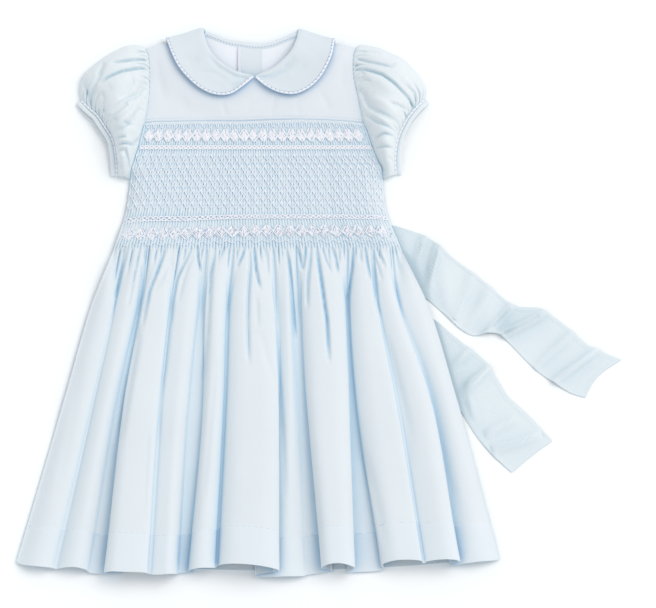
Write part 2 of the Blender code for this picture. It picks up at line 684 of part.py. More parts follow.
def skirt_row(depth):
    """Middle line of the front skirt across one row, gathers near the waist, folds below."""
    grown = 1.0 - fade(depth, WAIST, 275.0)
    gathers = GATHER_HEIGHT * (1.0 - fade(depth, WAIST, 222.0)) * fade(depth, 222.0, 300.0)
    before = {"valley_upper": 2.2, "valley_hem": 2.2}
    edges, feet = fold_feet(depth)
    line = []
    for fold, fold_edges, fold_feet_here, shape in zip(FOLD_EDGES, edges, feet, FOLD_SHAPES):
        form = dict(zip(SHAPE_COLUMNS, shape))
        line += fold_points(fold[0], fold_edges, fold_feet_here, form, before, depth)
        before = form
    down = (depth - WAIST) / (SKIRT_END - WAIST)
    smooth = np.array([(x, front_height(x, WAIST) * (1.0 - grown) + z * grown) for x, z, hem in line])
    steps = np.linalg.norm(np.diff(smooth, axis=0), axis=1)
    across = sideways(smooth) * -1.0
    row = []
    for column, (x, z) in enumerate(smooth):
        near_side = min(column, len(line) - 1 - column)
        room = min(steps[max(column - 1, 0)], steps[min(column, len(steps) - 1)])
        crimp = min(gathers * min(1.0, 0.25 * near_side), GATHER_SLOPE * room)
        x, z = smooth[column] + across[column] * crimp * (1 if column % 2 else -1)
        row.append((x, WAIST + (line[column][2] - WAIST) * down, z))
    return np.array(row)


def front_skirt():
    """One cut panel: pleated and smocked at the top, gathered and falling in folds below."""
    smock_outer, smock_inner = smocked_rows()
    skirt_face, skirt_back = two_faces([skirt_row(depth) for depth in SKIRT_ROWS])
    cloth_wall("front_skirt", smock_outer + list(skirt_face), smock_inner + list(skirt_back))


# ---- collar ------------------------------------------------------------------------------------

# Across a collar half from its seam, over the roll at the neck fold, to the outer edge
ROLL_HEIGHTS = (-0.9, 0.9, 3.0, 2.8, 2.9, 3.9)      # above the front
UNDER_HEIGHTS = (2.4, 1.5, 0.6, 0.6, 0.6, 0.6)      # above the surface, under the back yokes


def collar(side):
    """One collar half, rolled at the neck, laid on the front and wrapped over the shoulder."""
    lines = COLLAR[side]
    rows = []

    def row_between(fold, edge, front):
        width = np.linalg.norm(edge - fold)
        outward = (edge - fold) / width
        small = min(1.0, width / 12.0)
        offsets = (1.9 * small, 0.0, 2.8 * small, 0.4 * width, 0.74 * width, width)
        row = []
        for offset, height, low in zip(offsets, ROLL_HEIGHTS, UNDER_HEIGHTS):
            x, d = fold + outward * offset
            z = front_height(x, d) + height * (0.5 + 0.5 * small) if front else low
            row.append((x, d, z))
        return np.array(row)

    folds = smooth_path(lines["fold"], even(8))
    edges = smooth_path(lines["edge"], even(8))
    front = [row_between(fold, edge, True) for fold, edge in zip(folds, edges)]
    folds = smooth_path(lines["back fold"], even(4))
    edges = smooth_path(lines["back edge"], even(4))
    under = [row_between(fold, edge, False) for fold, edge in zip(folds, edges)]
    over_shoulder = []
    shoulder = edges[0] - folds[0]
    away = np.array([abs(shoulder[1]), -abs(shoulder[0]), 0.0])
    away[0] *= -1 if side == "left" else 1
    away /= np.linalg.norm(away)
    middle = (front[-1] + under[0]) / 2
    for angle in (45, 0, -45):
        turn = math.radians(angle)
        radius = np.abs(front[-1][:, 2] - under[0][:, 2]) / 2
        swing = middle + (front[-1] - middle) * math.sin(turn) + np.outer(radius * math.cos(turn), away)
        over_shoulder.append(swing)
    rows = front + over_shoulder + under
    cloth_wall("collar_" + side, *two_faces(rows))

    outer = np.array([row[-1] for row in rows])
    along = np.gradient(outer, axis=0)
    along /= np.linalg.norm(along, axis=1)[:, None]
    outward = np.array([row[-1] - row[-2] for row in rows])
    outward -= along * np.sum(outward * along, axis=1)[:, None]
    outward /= np.linalg.norm(outward, axis=1)[:, None]
    path = outer + outward * (2 * GAP + PIPING)
    path[:, 2] = np.maximum(path[:, 2], PIPING + 0.05)
    piping_cord("collar_piping_" + side, path, outward, PIPING, 5, closed=False)


# ---- sleeves -----------------------------------------------------------------------------------

ALONG_SLEEVE = np.array([0.0, 0.09, 0.2, 0.36, 0.55, 0.74, 0.89, 1.0])
AROUND_FRONT = even(18)
AROUND_BACK = np.linspace(0.95, 0.05, 6)


def hump(share):
    """Rounded profile across a flattened tube, 0 at its two folded sides."""
    return (1.0 - abs(2.0 * share - 1.0) ** 2.6) ** 0.8


def cuff_ring(side, distance):
    """Closed ring of the flattened cuff, a distance beyond the cuff seam."""
    away = 1.0 if side == "left" else -1.0
    seam = smooth_path(SLEEVE[side]["cuff"], AROUND_FRONT)
    front = moved(seam, -away * distance)
    ring = [(x, d, CUFF_LOW + CUFF_RISE * hump(share)) for (x, d), share in zip(front, AROUND_FRONT)]
    back = moved(smooth_path(SLEEVE[side]["cuff"], AROUND_BACK[::-1]), -away * distance)[::-1]
    ring += [(x, d, CUFF_PIPING + 0.05) for x, d in back]
    return np.array(ring)


def sleeve(side):
    """A puffed tube, gathered at the cap and at the cuff, lying on its back half."""
    away = 1.0 if side == "left" else -1.0
    lines = SLEEVE[side]
    arm = smooth_path(ARMHOLE[side], AROUND_FRONT)
    arm_seam = moved(arm, -away * ARM_SEAM)
    cuff = smooth_path(lines["cuff"], AROUND_FRONT)
    upper = smooth_path((arm_seam[0],) + lines["upper"][1:], ALONG_SLEEVE)
    lower = smooth_path((arm_seam[-1],) + lines["lower"][1:], ALONG_SLEEVE)
    plan = np.array(fill(upper, lower, arm_seam, cuff, ALONG_SLEEVE, AROUND_FRONT))
    arm_heights = [front_height(x, d) for x, d in arm]
    rings = []
    for column, share in enumerate(ALONG_SLEEVE):
        puff = PUFF * math.sin(math.pi * share) ** 0.8
        edge = 5.0 * math.sin(math.pi * share)
        at_cap, at_cuff = fade(share, 0.02, 0.3), 1.0 - fade(share, 0.7, 0.97)
        ring = []
        for row, around in enumerate(AROUND_FRONT):
            x, d = plan[row, column]
            cuff_height = CUFF_LOW + CUFF_RISE * hump(around)
            seam_height = arm_heights[row] * (1.0 - share) + cuff_height * share
            z = seam_height + edge + (puff - edge) * hump(around)
            if 0.0 < share < 1.0 and 0.0 < around < 1.0:
                from_side = min(1.0, 5.0 * min(around, 1.0 - around))
                z += (1.5 * at_cap + 1.3 * at_cuff) * from_side * (1 if row % 2 else -1)
            ring.append((x, d, z))
        for around in AROUND_BACK:
            x = float(np.interp(around, AROUND_FRONT, plan[:, column, 0]))
            d = float(np.interp(around, AROUND_FRONT, plan[:, column, 1]))
            ring.append((x, d, HALF + 0.02 + lift(x, d) * fade(share, 0.0, 0.25)))
        rings.append(np.array(ring))
    cloth_wall("sleeve_" + side, *two_faces(rings, around=True), around=True)

    ring = cuff_ring(side, CUFF_PIPING_AT)
    direction = ring - cuff_ring(side, 0.0)
    piping_cord("cuff_piping_" + side, ring, direction, CUFF_PIPING, 5, closed=True)
    near = CUFF_PIPING_AT + CUFF_PIPING + GAP + 0.1
    far = near + CUFF_WIDTH
    band = []
    for distance in (near, far):
        loop = cuff_ring(side, distance)
        loop[len(AROUND_FRONT):, 2] = HALF + 0.02
        band.append(loop)
    cloth_wall("cuff_binding_" + side, *two_faces(band, around=True), around=True)


# ---- sash --------------------------------------------------------------------------------------

def sash(side, lengths):
    """One tie: a flat ribbon of cloth from the side seam to its cut end, waved above the surface."""
    shares = even(lengths)
    upper = smooth_path(SASH[side]["upper"], shares)
    lower = smooth_path(SASH[side]["lower"], shares)
    rows = []
    for share, start, end in zip(shares, upper, lower):
        wave = 0.0
        for place, height, width in SASH_WAVES[side]:
            wave += height * math.exp(-((share - place) / width) ** 2)
        row = []
        for across in even(3):
            x, d = start + (end - start) * across
            free = 1.0 - fade(x - side_edge("right", d), 2.0, 22.0)
            bulge = 0.55 + 0.45 * math.sin(math.pi * across)
            row.append((x, d, HALF + 0.02 + wave * bulge * free))
        rows.append(np.array(row))
    cloth_wall("sash_" + side, *two_faces(rows))


# ---- build -------------------------------------------------------------------------------------

for old in list(bpy.data.objects):
    bpy.data.objects.remove(old, do_unlink=True)

back_yokes()
back_skirt()
buttons()
front_yoke()
front_skirt()
for part_side in ("left", "right"):
    collar(part_side)
    sleeve(part_side)
sash("right", 18)
sash("left", 22)
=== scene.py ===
import math
import random

import bmesh
import bpy
import numpy as np
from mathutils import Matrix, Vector


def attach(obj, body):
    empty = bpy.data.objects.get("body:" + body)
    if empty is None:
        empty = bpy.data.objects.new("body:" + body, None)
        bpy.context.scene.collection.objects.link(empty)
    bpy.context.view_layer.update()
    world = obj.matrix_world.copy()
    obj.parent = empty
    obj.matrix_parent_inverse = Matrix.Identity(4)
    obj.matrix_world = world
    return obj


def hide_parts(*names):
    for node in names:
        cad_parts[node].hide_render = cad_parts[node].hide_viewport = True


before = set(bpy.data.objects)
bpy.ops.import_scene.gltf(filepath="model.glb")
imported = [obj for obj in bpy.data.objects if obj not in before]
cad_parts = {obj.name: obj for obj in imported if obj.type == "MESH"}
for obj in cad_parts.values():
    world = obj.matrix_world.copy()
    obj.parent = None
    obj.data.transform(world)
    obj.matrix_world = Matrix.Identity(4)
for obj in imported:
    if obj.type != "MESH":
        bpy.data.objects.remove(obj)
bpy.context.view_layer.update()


# ---- back skirt --------------------------------------------------------------------------------
# The back panel below the yokes is one flat width of blue cotton, gathered into the yoke seam and
# hemmed. It lies on the surface and rises only over the sash tie that passes beneath it.

# Lengths are in millimetres: x across from the centre front, d down from the shoulder line, z up
MIDDLE_X, MIDDLE_D = 67.4, 265.0    # middle of the laid-out footprint
SHEET = 0.8                         # thickness of the cotton with its nap
UNDERARM = 137.0
WAIST = 207.9                       # foot of the smocking
NECK_CENTRE = (-1.5, -40.0)
COLLAR_LIFT, COLLAR_LOBES = 2.6, (104, 126)     # the back yokes lie over the collar's back lobes
TIE_LIFT, TIE_MARGIN = 1.4, (3, 18)     # the back skirt lies over the left sash tie
BACK_ABOVE = 0.5                    # middle of the back's cloth over what it lies on
BELOW_SEAM = 0.4                    # the skirt starts this far below the line of the yoke seam
BACK_INSET, INSET_WITHIN = 3.4, 40  # the back skirt lies inside the front one at its sides
BACK_HEM, HEM_CURVE, HEM_LOWEST = 541.0, 0.00026, 20    # depth, curve, and where across it is lowest
BACK_GATHERS, BACK_GATHER_HEIGHT, BACK_GATHERS_FADE = 30, 0.45, (84, 150)
SIDE_DEPTHS = (137, 170, 206, 255, 300, 366, 448, 530)
SIDE_EDGE = {
    "left": (-122, -126.5, -137.5, -156, -169.5, -187, -210, -231.5),
    "right": (131, 134.7, 148, 170.5, 185.5, 204, 227, 245),
}
ARMHOLE = {
    "left": ((-107.4, 2.4), (-103.6, 12), (-102.4, 35), (-103.4, 56), (-106, 73), (-107.6, 80.6),
             (-110, 89), (-114, 106), (-118, 119), (-121.4, 131), (-122, 137)),
    "right": ((103.4, 2.4), (101, 12.7), (101, 30), (104, 46), (108, 64.5), (111.4, 80.6),
              (115, 89.4), (120, 104), (125, 118), (130, 128.5), (131, 137)),
}
YOKE_SEAM = np.array(((-107.6, 80.6), (-97, 79.5), (-49, 78.5), (-12, 79.0), (18, 77.8),
                      (45, 76.8), (73, 77.5), (93, 78.8), (111.4, 80.6)))
SASH = {
    "right": {
        "upper": ((138, 184), (153, 188.4), (177, 198.3), (199, 217), (223, 235.5), (243, 253),
                  (261, 267.5), (275, 269.8), (289, 271.4), (310.5, 286.3), (334, 308), (348, 315),
                  (369, 324)),
        "lower": ((169.2, 256.8), (179, 264.5), (196, 280), (209, 292.6), (222, 299), (236, 296.8),
                  (247, 298), (258, 307.5), (272, 322.5), (285, 335.4), (300, 346.5), (318, 358),
                  (333, 363)),
    },
    "left": {
        "upper": ((-131, 198.5), (-30, 227.5), (70, 255), (140, 270.5), (178, 280), (199, 297),
                  (215, 310), (231, 323.5), (243, 341), (256, 361.8), (272, 377.4), (300, 407.4)),
        "lower": ((-146.4, 247.5), (-50, 276), (50, 304), (120, 324), (168, 343), (196, 362),
                  (206, 373), (217, 391), (226, 405), (235, 416), (243, 425), (259.5, 440.5)),
    },
}


def fade(value, start, end):
    """1 before start, 0 after end, smooth between."""
    share = np.clip((np.asarray(value, float) - start) / (end - start), 0.0, 1.0)
    return 1.0 - share * share * (3.0 - 2.0 * share)


def read(knots, values, where):
    """Smooth values of a table at some places."""
    knots, values = np.array(knots, float), np.array(values, float)
    slopes = np.gradient(values, knots)
    index = np.clip(np.searchsorted(knots, where) - 1, 0, len(knots) - 2)
    span = knots[index + 1] - knots[index]
    share = (where - knots[index]) / span
    start, end = values[index], values[index + 1]
    square, cube = share ** 2, share ** 3
    curve = (start * (2 * cube - 3 * square + 1) + end * (3 * square - 2 * cube)
             + span * (slopes[index] * (cube - 2 * square + share)
                       + slopes[index + 1] * (cube - square)))
    return np.where((share <= 0.0) | (share >= 1.0), start + (end - start) * share, curve)


def even(cells):
    """Ends of equal cells from 0 to 1."""
    return np.linspace(0.0, 1.0, cells + 1)


def finer(points, steps, closed=False):
    """Smooth curve through the first axis of an array, with some steps to each of its stretches."""
    points = np.array(points, float)
    if closed:
        before, start, end, after = [np.roll(points, turn, axis=0) for turn in (1, 0, -1, -2)]
    else:
        padded = np.concatenate([[2 * points[0] - points[1]], points, [2 * points[-1] - points[-2]]])
        before, start, end, after = padded[:-3], padded[1:-2], padded[2:-1], padded[3:]
    curve = []
    for t in np.linspace(0, 1, steps, endpoint=False):
        curve.append(0.5 * (2 * start + (end - before) * t
                            + (2 * before - 5 * start + 4 * end - after) * t ** 2
                            + (3 * start - before - 3 * end + after) * t ** 3))
    curve = np.stack(curve, axis=1).reshape((-1,) + points.shape[1:])
    return curve if closed else np.concatenate([curve, points[-1:]])


def run_along(path):
    """Distance along a path to each of its points."""
    return np.concatenate([[0], np.cumsum(np.linalg.norm(np.diff(path, axis=0), axis=1))])


def places(path, run, where):
    """Points of a path at some distances along it."""
    return np.column_stack([np.interp(where, run, column) for column in path.T])


def smooth_path(points, shares):
    """Places at the given shares of the length of a smooth curve through the points."""
    fine = finer(points, steps=10)
    run = run_along(fine)
    return places(fine, run, np.array(shares) * run[-1])


def unit(vectors):
    return vectors / np.linalg.norm(vectors, axis=-1, keepdims=True)


def moved(curve, distance):
    """A plan curve moved in its own plane, to the right of its direction of travel in (x, d)."""
    along = np.gradient(np.array(curve, float), axis=0)
    return np.array(curve, float) + unit(np.column_stack([along[:, 1], -along[:, 0]])) * distance


def side_edge(side, d):
    return read(SIDE_DEPTHS, SIDE_EDGE[side], d)


def seam_at(x):
    """Depth of the yoke seam."""
    return np.interp(x, *YOKE_SEAM.T)


TIE_UPPER, TIE_LOWER = [smooth_path(SASH["left"][edge], even(60)).T for edge in ("upper", "lower")]


def lift(x, d):
    """Height of the underside of the back, over the collar's lobes, the buttons and the tie."""
    from_neck = np.hypot(x - NECK_CENTRE[0], d - NECK_CENTRE[1])
    beyond_tie = np.maximum(np.interp(x, *TIE_UPPER) - d, d - np.interp(x, *TIE_LOWER))
    return np.maximum(COLLAR_LIFT * fade(from_neck, *COLLAR_LOBES),
                      TIE_LIFT * fade(beyond_tie, *TIE_MARGIN))


def back_height(x, d):
    return lift(x, d) + BACK_ABOVE


def troughs(surface, lines):
    """Depth of soft creases on a surface: each is a path of (x, d), a half width and a depth."""
    x, d = surface[..., 0], surface[..., 1]
    total = np.zeros(x.shape)
    for path, width, depth in lines:
        path = np.array(path, float)
        steps = np.linalg.norm(np.diff(path, axis=0), axis=1)
        run = run_along(path)
        nearest, place = np.full(x.shape, 1e6), np.zeros(x.shape)
        for (x0, d0), (x1, d1), step, start in zip(path, path[1:], steps, run):
            share = np.clip(((x - x0) * (x1 - x0) + (d - d0) * (d1 - d0)) / step ** 2, 0.0, 1.0)
            away = np.hypot(x - x0 - share * (x1 - x0), d - d0 - share * (d1 - d0))
            closer = away < nearest
            nearest = np.where(closer, away, nearest)
            place = np.where(closer, (start + share * step) / run[-1], place)
        ends = 1.0 - (2.0 * place - 1.0) ** 4
        total += depth * (0.25 + 0.75 * ends) * np.exp(-(nearest / width) ** 2) * (ends > 0.0)
    return total


def raised(plan, height):
    """A plan grid made into a surface, with one height for all points or one for each."""
    return np.concatenate([plan, np.broadcast_to(height, plan.shape[:2])[..., None]], axis=2)


def two_faces(grid, half, around=False):
    """The face and the back of a sheet, half its thickness either side of its middle."""
    steps = np.roll(grid, -1, axis=1) - grid
    if not around:
        steps[:, -1] = steps[:, -2]
    steps /= np.maximum(np.linalg.norm(steps, axis=2), 1e-9)[:, :, None]
    before = np.roll(steps, 1, axis=1)
    if not around:
        before[:, 0] = steps[:, 0]
    normal = np.cross(steps + before, np.gradient(grid, axis=0))
    normal *= (half / np.maximum(np.linalg.norm(normal, axis=2), 1e-9))[:, :, None]
    return grid + normal, grid - normal


def put_in(name, data):
    """A new object in the scene."""
    thing = bpy.data.objects.new(name, data)
    bpy.context.collection.objects.link(thing)
    return thing


def new_piece(name, points, faces, finish, sharp=60):
    """One named object from points in the dress's millimetres, its faces pointing out."""
    x, d, z = np.array(points, float).reshape(-1, 3).T
    metres = np.column_stack([x - MIDDLE_X, MIDDLE_D - d, z]) / 1000
    mesh = bpy.data.meshes.new(name)
    mesh.from_pydata(metres.tolist(), [], faces)
    shell = bmesh.new()
    shell.from_mesh(mesh)
    bmesh.ops.recalc_face_normals(shell, faces=shell.faces)
    shell.to_mesh(mesh)
    shell.free()
    mesh.shade_smooth()
    mesh.set_sharp_from_angle(angle=math.radians(sharp))
    mesh.materials.append(finish)
    return put_in(name, mesh)


def quads(numbers):
    """Four-sided faces of a grid of point numbers."""
    corners = (numbers[:-1, :-1], numbers[:-1, 1:], numbers[1:, 1:], numbers[1:, :-1])
    return np.stack(corners, axis=-1).reshape(-1, 4).tolist()


def shell_of_cloth(name, face, back, finish, around=False, back_steps=(1, 1)):
    """A thin closed shell between two grids; the back may be coarser, by whole steps each way."""
    down, across = back_steps
    back = back[::down, ::across]
    face_numbers = np.arange(face[..., 0].size).reshape(face.shape[:2])
    back_numbers = np.arange(back[..., 0].size).reshape(back.shape[:2]) + face_numbers.size
    if around:
        face_numbers = np.column_stack([face_numbers, face_numbers[:, :1]])
        back_numbers = np.column_stack([back_numbers, back_numbers[:, :1]])
    faces = quads(face_numbers) + quads(back_numbers)
    rims = [(face_numbers[0], back_numbers[0], across), (face_numbers[-1], back_numbers[-1], across)]
    if not around:
        rims += [(face_numbers[:, end], back_numbers[:, end], down) for end in (0, -1)]
    for outer, inner, step in rims:
        for index in range(len(inner) - 1):
            edge = outer[index * step:(index + 1) * step + 1].tolist()
            faces.append(edge + [int(inner[index + 1]), int(inner[index])])
    points = np.concatenate([face.reshape(-1, 3), back.reshape(-1, 3)])
    return new_piece(name, points, faces, finish)


def sew_in(piece, slot, *solids):
    """Fixes a piece to the dress, in place of the solids that it stands for, which it hides."""
    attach(piece, "root")
    if solids:
        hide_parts(*solids)
    return piece


def sheet_of_cloth(name, solid, middle, finish, half=SHEET / 2, slot="blue_cotton", around=False):
    """A thin shell either side of a middle surface, sewn in for its plain solid."""
    piece = shell_of_cloth(name, *two_faces(middle, half, around), finish, around)
    return sew_in(piece, slot, solid)


def wire(tree, node, sockets):
    """Gives each named socket of a node its value, or links it to the output given."""
    for name, source in sockets.items():
        if isinstance(source, bpy.types.NodeSocket):
            tree.links.new(source, node.inputs[name])
        else:
            node.inputs[name].default_value = source


def add_node(tree, kind, sockets, **settings):
    """A new shader node with its settings and sockets."""
    node = tree.nodes.new("ShaderNode" + kind)
    for name, setting in settings.items():
        setattr(node, name, setting)
    wire(tree, node, sockets)
    return node


def mixed(tree, share, first, second):
    """Colour between two others."""
    sockets = {"Factor": share, "A": first, "B": second}
    return add_node(tree, "Mix", sockets, data_type="RGBA").outputs["Result"]


def new_group(name, inputs, outputs):
    """An empty node group of numbers with its named inputs and outputs."""
    group = bpy.data.node_groups.new(name, "ShaderNodeTree")
    for sockets, way in ((inputs, "INPUT"), (outputs, "OUTPUT")):
        for socket in sockets:
            group.interface.new_socket(socket, in_out=way, socket_type="NodeSocketFloat")
    return group, group.nodes.new("NodeGroupInput").outputs, group.nodes.new("NodeGroupOutput")


def new_finish(name):
    """A new material, its node tree and its shader."""
    material = bpy.data.materials.new(name)
    material.use_nodes = True
    return material, material.node_tree, material.node_tree.nodes["Principled BSDF"]


def plain_weave():
    """Node group of a plain weave: its height, and the slow change of tone over the cloth."""
    group, entry, out = new_group("plain weave", ["Threads"], ["Height", "Tone"])
    place = add_node(group, "TexCoord", {}).outputs["Object"]
    parts = add_node(group, "SeparateXYZ", {0: place}).outputs
    waves = []
    for axis in ("X", "Y"):
        turn = add_node(group, "Math", {0: parts[axis], 1: entry["Threads"]}, operation="MULTIPLY")
        waves.append(add_node(group, "Math", {0: turn.outputs[0]}, operation="SINE").outputs[0])
    over_under = add_node(group, "Math", dict(enumerate(waves)), operation="MULTIPLY").outputs[0]
    noises = [add_node(group, "TexNoise", {"Vector": place, "Scale": scale, "Detail": detail})
              for scale, detail in ((900.0, 2.0), (24.0, 3.0))]
    slub, mottle = [noise.outputs["Fac"] for noise in noises]
    height = add_node(group, "Math", {0: over_under, 1: 0.35, 2: slub}, operation="MULTIPLY_ADD")
    spread = add_node(group, "MapRange", {"Value": mottle, "From Min": 0.3, "From Max": 0.7})
    wire(group, out, {"Height": height.outputs[0], "Tone": spread.outputs["Result"]})
    return group


def painted_shade_of_folds():
    """Node group of painted shade: a mask, from ambient occlusion, of the hollows of folds and of
    places that other parts lie close over.
    """
    group, entry, out = new_group("painted shade of folds", ["Reach", "Open", "Deep"], ["Painted Shade"])
    openness = add_node(group, "AmbientOcclusion", {"Distance": entry["Reach"]}, samples=8)
    spread = add_node(group, "MapRange", {"Value": openness.outputs["AO"], "From Min": entry["Open"],
                                          "From Max": entry["Deep"]})
    wire(group, out, {"Painted Shade": spread.outputs["Result"]})
    return group


WEAVE = plain_weave()
PAINTED_SHADE = painted_shade_of_folds()
PAINTED_SHADE_BLUE = (0.50, 0.675, 0.80)   # painted shade: the cotton's deeper blue in the hollows of its folds and under other parts


def woven(name, pale, deep, threads=18000.0, painted_shade_colour=PAINTED_SHADE_BLUE, reach=0.014, painted_shade_from=0.92,
          painted_shade_to=0.36):
    """Matt woven cloth between two close tones, with its threads raised, and with painted shade: its
    colour turns deeper where ambient occlusion finds hollows and parts close over it.
    """
    material, tree, shader = new_finish(name)
    weave = add_node(tree, "Group", {"Threads": threads}, node_tree=WEAVE)
    painted_shade = add_node(tree, "Group", {"Reach": reach, "Open": painted_shade_from, "Deep": painted_shade_to},
                      node_tree=PAINTED_SHADE)
    tone = mixed(tree, weave.outputs["Tone"], (*deep, 1.0), (*pale, 1.0))
    colour = mixed(tree, painted_shade.outputs["Painted Shade"], tone, (*painted_shade_colour, 1.0))
    bump = add_node(tree, "Bump", {"Height": weave.outputs["Height"], "Strength": 0.5,
                                   "Distance": 0.00006})
    wire(tree, shader, {"Base Color": colour, "Normal": bump.outputs["Normal"], "Roughness": 0.85,
                        "Sheen Weight": 0.12, "Sheen Roughness": 0.5, "Specular IOR Level": 0.25})
    return material


# Its painted shade reaches a little farther into the skirt's deep folds.
skirt_cotton = woven("blue cotton of the skirt", (0.735, 0.77, 0.795), (0.718, 0.755, 0.782),
                     reach=0.018)
LOWER_ARMS = {side: smooth_path(ARMHOLE[side][5:], even(20)).T for side in ("left", "right")}


def back_edge(side, d):
    """Where the back skirt ends at one side: inside the side seam, or at the armhole above it."""
    arm_x, arm_d = LOWER_ARMS[side]
    inset = BACK_INSET * np.minimum(1.0, np.maximum(d - UNDERARM, 0.0) / INSET_WITHIN)
    edge = side_edge(side, d) + (inset if side == "left" else -inset)
    return np.where(d <= UNDERARM, np.interp(d, arm_d, arm_x), edge)


def back_skirt_plan(column, share):
    """Plan of the back panel: columns go from the left side to the right, shares from seam to hem."""
    x = -120 + 250 * column
    for _ in range(6):
        top = seam_at(x) + BELOW_SEAM
        d = top + (BACK_HEM - HEM_CURVE * (x - HEM_LOWEST) ** 2 - top) * share
        x = back_edge("left", d) * (1 - column) + back_edge("right", d) * column
    return x, d


grid_column, grid_share = np.meshgrid(even(96), even(84))
x, d = back_skirt_plan(grid_column, grid_share)
gather = (BACK_GATHER_HEIGHT * np.abs(np.sin(math.pi * BACK_GATHERS * grid_column))
          * fade(d, *BACK_GATHERS_FADE))
panel = np.stack([x, d, back_height(x, d) + gather], axis=2)
back_skirt = sheet_of_cloth("skirt_back_panel", "back_skirt", panel, skirt_cotton)


# ---- back yokes --------------------------------------------------------------------------------
# Two yokes of blue cotton lined in white lawn overlap at the centre back, where the left one carries
# a blue button stand. A bias binding finishes the neck inside, and a white overlocked strip runs
# down beside the stand.

SHOULDER = {
    "left": ((-107.4, 2.4), (-93, -2.0), (-72, -5.6), (-52, -10.5)),
    "right": ((103.4, 2.4), (90, -2.0), (70, -5.6), (48.5, -10.0)),
}
BACK_NECK = ((-47, -17.5), (-36, -13.0), (-24, -8.3), (-12, -6.0), (-1, -4.2),
             (9, -4.0), (20, -6.0), (31, -10.6), (44.5, -16.5))
STAND_LEFT, STAND_RIGHT = -15.0, 9.0
STAND_LAST = 8.7                    # the left yoke's inner edge, just under the stand's
LINING_SHORT = 1.5                  # the linings stop this far short of the stand
NECK_HIDDEN = 3.8                   # the yokes' neck edge, back from the roll of the collar
BINDING = (0.6, 1.6, 3.4, 5.2, 6.4)     # neck binding, measured down from the back neck edge
BINDING_BULGE = (0.0, 0.35, 0.45, 0.35, 0.0)
LINING_ABOVE = 1.2                  # from the middle of the blue yoke to the middle of its lining
LINING_TUCKED = 0.2                 # how far its neck edge is carried up to the binding
STAND_ABOVE = 1.95
BINDING_HEIGHT = 4.45

# Both cottons carry painted shade in their hollows; the lawn's painted shade is paler.
yoke_cotton = woven("blue cotton of the yoke", (0.745, 0.768, 0.797), (0.73, 0.755, 0.786))
white_lawn = woven("white lawn", (0.86, 0.865, 0.90), (0.84, 0.85, 0.89), threads=22000.0,
                   painted_shade_colour=(0.70, 0.75, 0.84))


def fill(top, bottom, left, right, across, down):
    """Plan grid between four edges that share their corners."""
    straight = top[None] + (bottom - top)[None] * down[:, None, None]
    pull_left = (left - straight[:, 0])[:, None]
    pull_right = (right - straight[:, -1])[:, None]
    return straight + pull_left * (1 - across)[None, :, None] + pull_right * across[None, :, None]


neck_edge = moved(smooth_path(BACK_NECK, even(60)), -NECK_HIDDEN).T


def back_yoke_grid(side, inner_xs):
    """Surface of one back yoke, from its shoulder and neck down to the seam."""
    shoulder = smooth_path(SHOULDER[side], np.linspace(0.0, 0.72, 20))
    top = np.vstack([shoulder, np.column_stack([inner_xs, np.interp(inner_xs, *neck_edge)])])
    across = (top[:, 0] - top[0, 0]) / (top[-1, 0] - top[0, 0])
    foot_x = ARMHOLE[side][5][0] + (inner_xs[-1] - ARMHOLE[side][5][0]) * across
    bottom = np.column_stack([foot_x, seam_at(foot_x)])
    rows = even(24)
    arm = smooth_path(ARMHOLE[side][:6], rows)
    inner_d = top[-1, 1] + (bottom[-1, 1] - top[-1, 1]) * rows
    inner = np.column_stack([np.full(len(rows), inner_xs[-1]), inner_d])
    plan = fill(top, bottom, arm, inner, across, rows)
    return raised(plan, back_height(plan[..., 0], plan[..., 1]))


def under_binding(grid):
    """What is sewn inside a yoke starts one row down, its edge drawn up towards the binding."""
    inside = grid[1:].copy()
    inside[0] += LINING_TUCKED * (grid[0] - inside[0])
    return inside


left_xs = np.append(np.linspace(-47, STAND_LEFT, 24), np.linspace(-13, STAND_LAST, 12))
back_yokes = {"left": back_yoke_grid("left", left_xs),
              "right": back_yoke_grid("right", np.linspace(44, STAND_RIGHT, 30))}
for side, grid in back_yokes.items():
    yoke = sheet_of_cloth("yoke_back_" + side, "back_yoke_" + side, grid, yoke_cotton)
    lining = under_binding(grid[:, :45] if side == "left" else grid)
    lining[..., 2] += LINING_ABOVE
    lining[:, -1, 0] = STAND_LEFT + LINING_SHORT if side == "left" else STAND_RIGHT - LINING_SHORT
    inside = sheet_of_cloth("lining_back_" + side, "back_lining_" + side, lining, white_lawn,
                            half=0.3, slot="white_lawn")

stand = under_binding(back_yokes["left"][:, 43:])
stand[..., 0] += 0.8 * (stand[..., 0] - STAND_LEFT) / (STAND_LAST - STAND_LEFT)
stand[..., 2] += STAND_ABOVE + 0.12 * fade(np.abs(stand[..., 0] - STAND_LEFT), 0.4, 2.4)
button_stand = sheet_of_cloth("button_stand", "back_placket", stand, skirt_cotton, half=0.35)

along_neck = smooth_path(BACK_NECK, np.linspace(0.008, 0.992, 96))
binding = np.stack([moved(along_neck, -offset) for offset in BINDING])
binding = raised(binding, BINDING_HEIGHT + np.array(BINDING_BULGE)[:, None])
neck_binding = sheet_of_cloth("neck_bias_binding", "neck_binding", binding, skirt_cotton, half=0.35)


# ---- buttons -----------------------------------------------------------------------------------
# Three small four-hole buttons of white casein on the outside of the back stand, sewn with white
# thread. The dress lies on them, so their dished faces look down.

BUTTON_DEPTHS = (18.0, 37.0, 56.0)
BUTTON_SIDES = 40
THREADS_UP, THREADS_APART = 0.42, 0.16      # in each pair of holes
HOLE_OFFSET, HOLE_RADIUS, HOLE_SIDES = 0.95, 0.42, 12
# Turned rim from the dished face round to the back: radius, z
BUTTON_RIM = ((2.6, 0.5), (3.0, 0.22), (3.4, 0.03), (4.0, 0.0), (4.6, 0.05), (4.9, 0.3), (5.0, 0.8),
              (4.95, 1.3), (4.7, 1.65), (4.4, 1.8))


def circle(x, d, z, radius, sides):
    turns = 2 * math.pi * np.arange(sides) / sides
    return (x, d, z) + radius * np.column_stack([np.cos(turns), np.sin(turns), np.zeros(sides)])


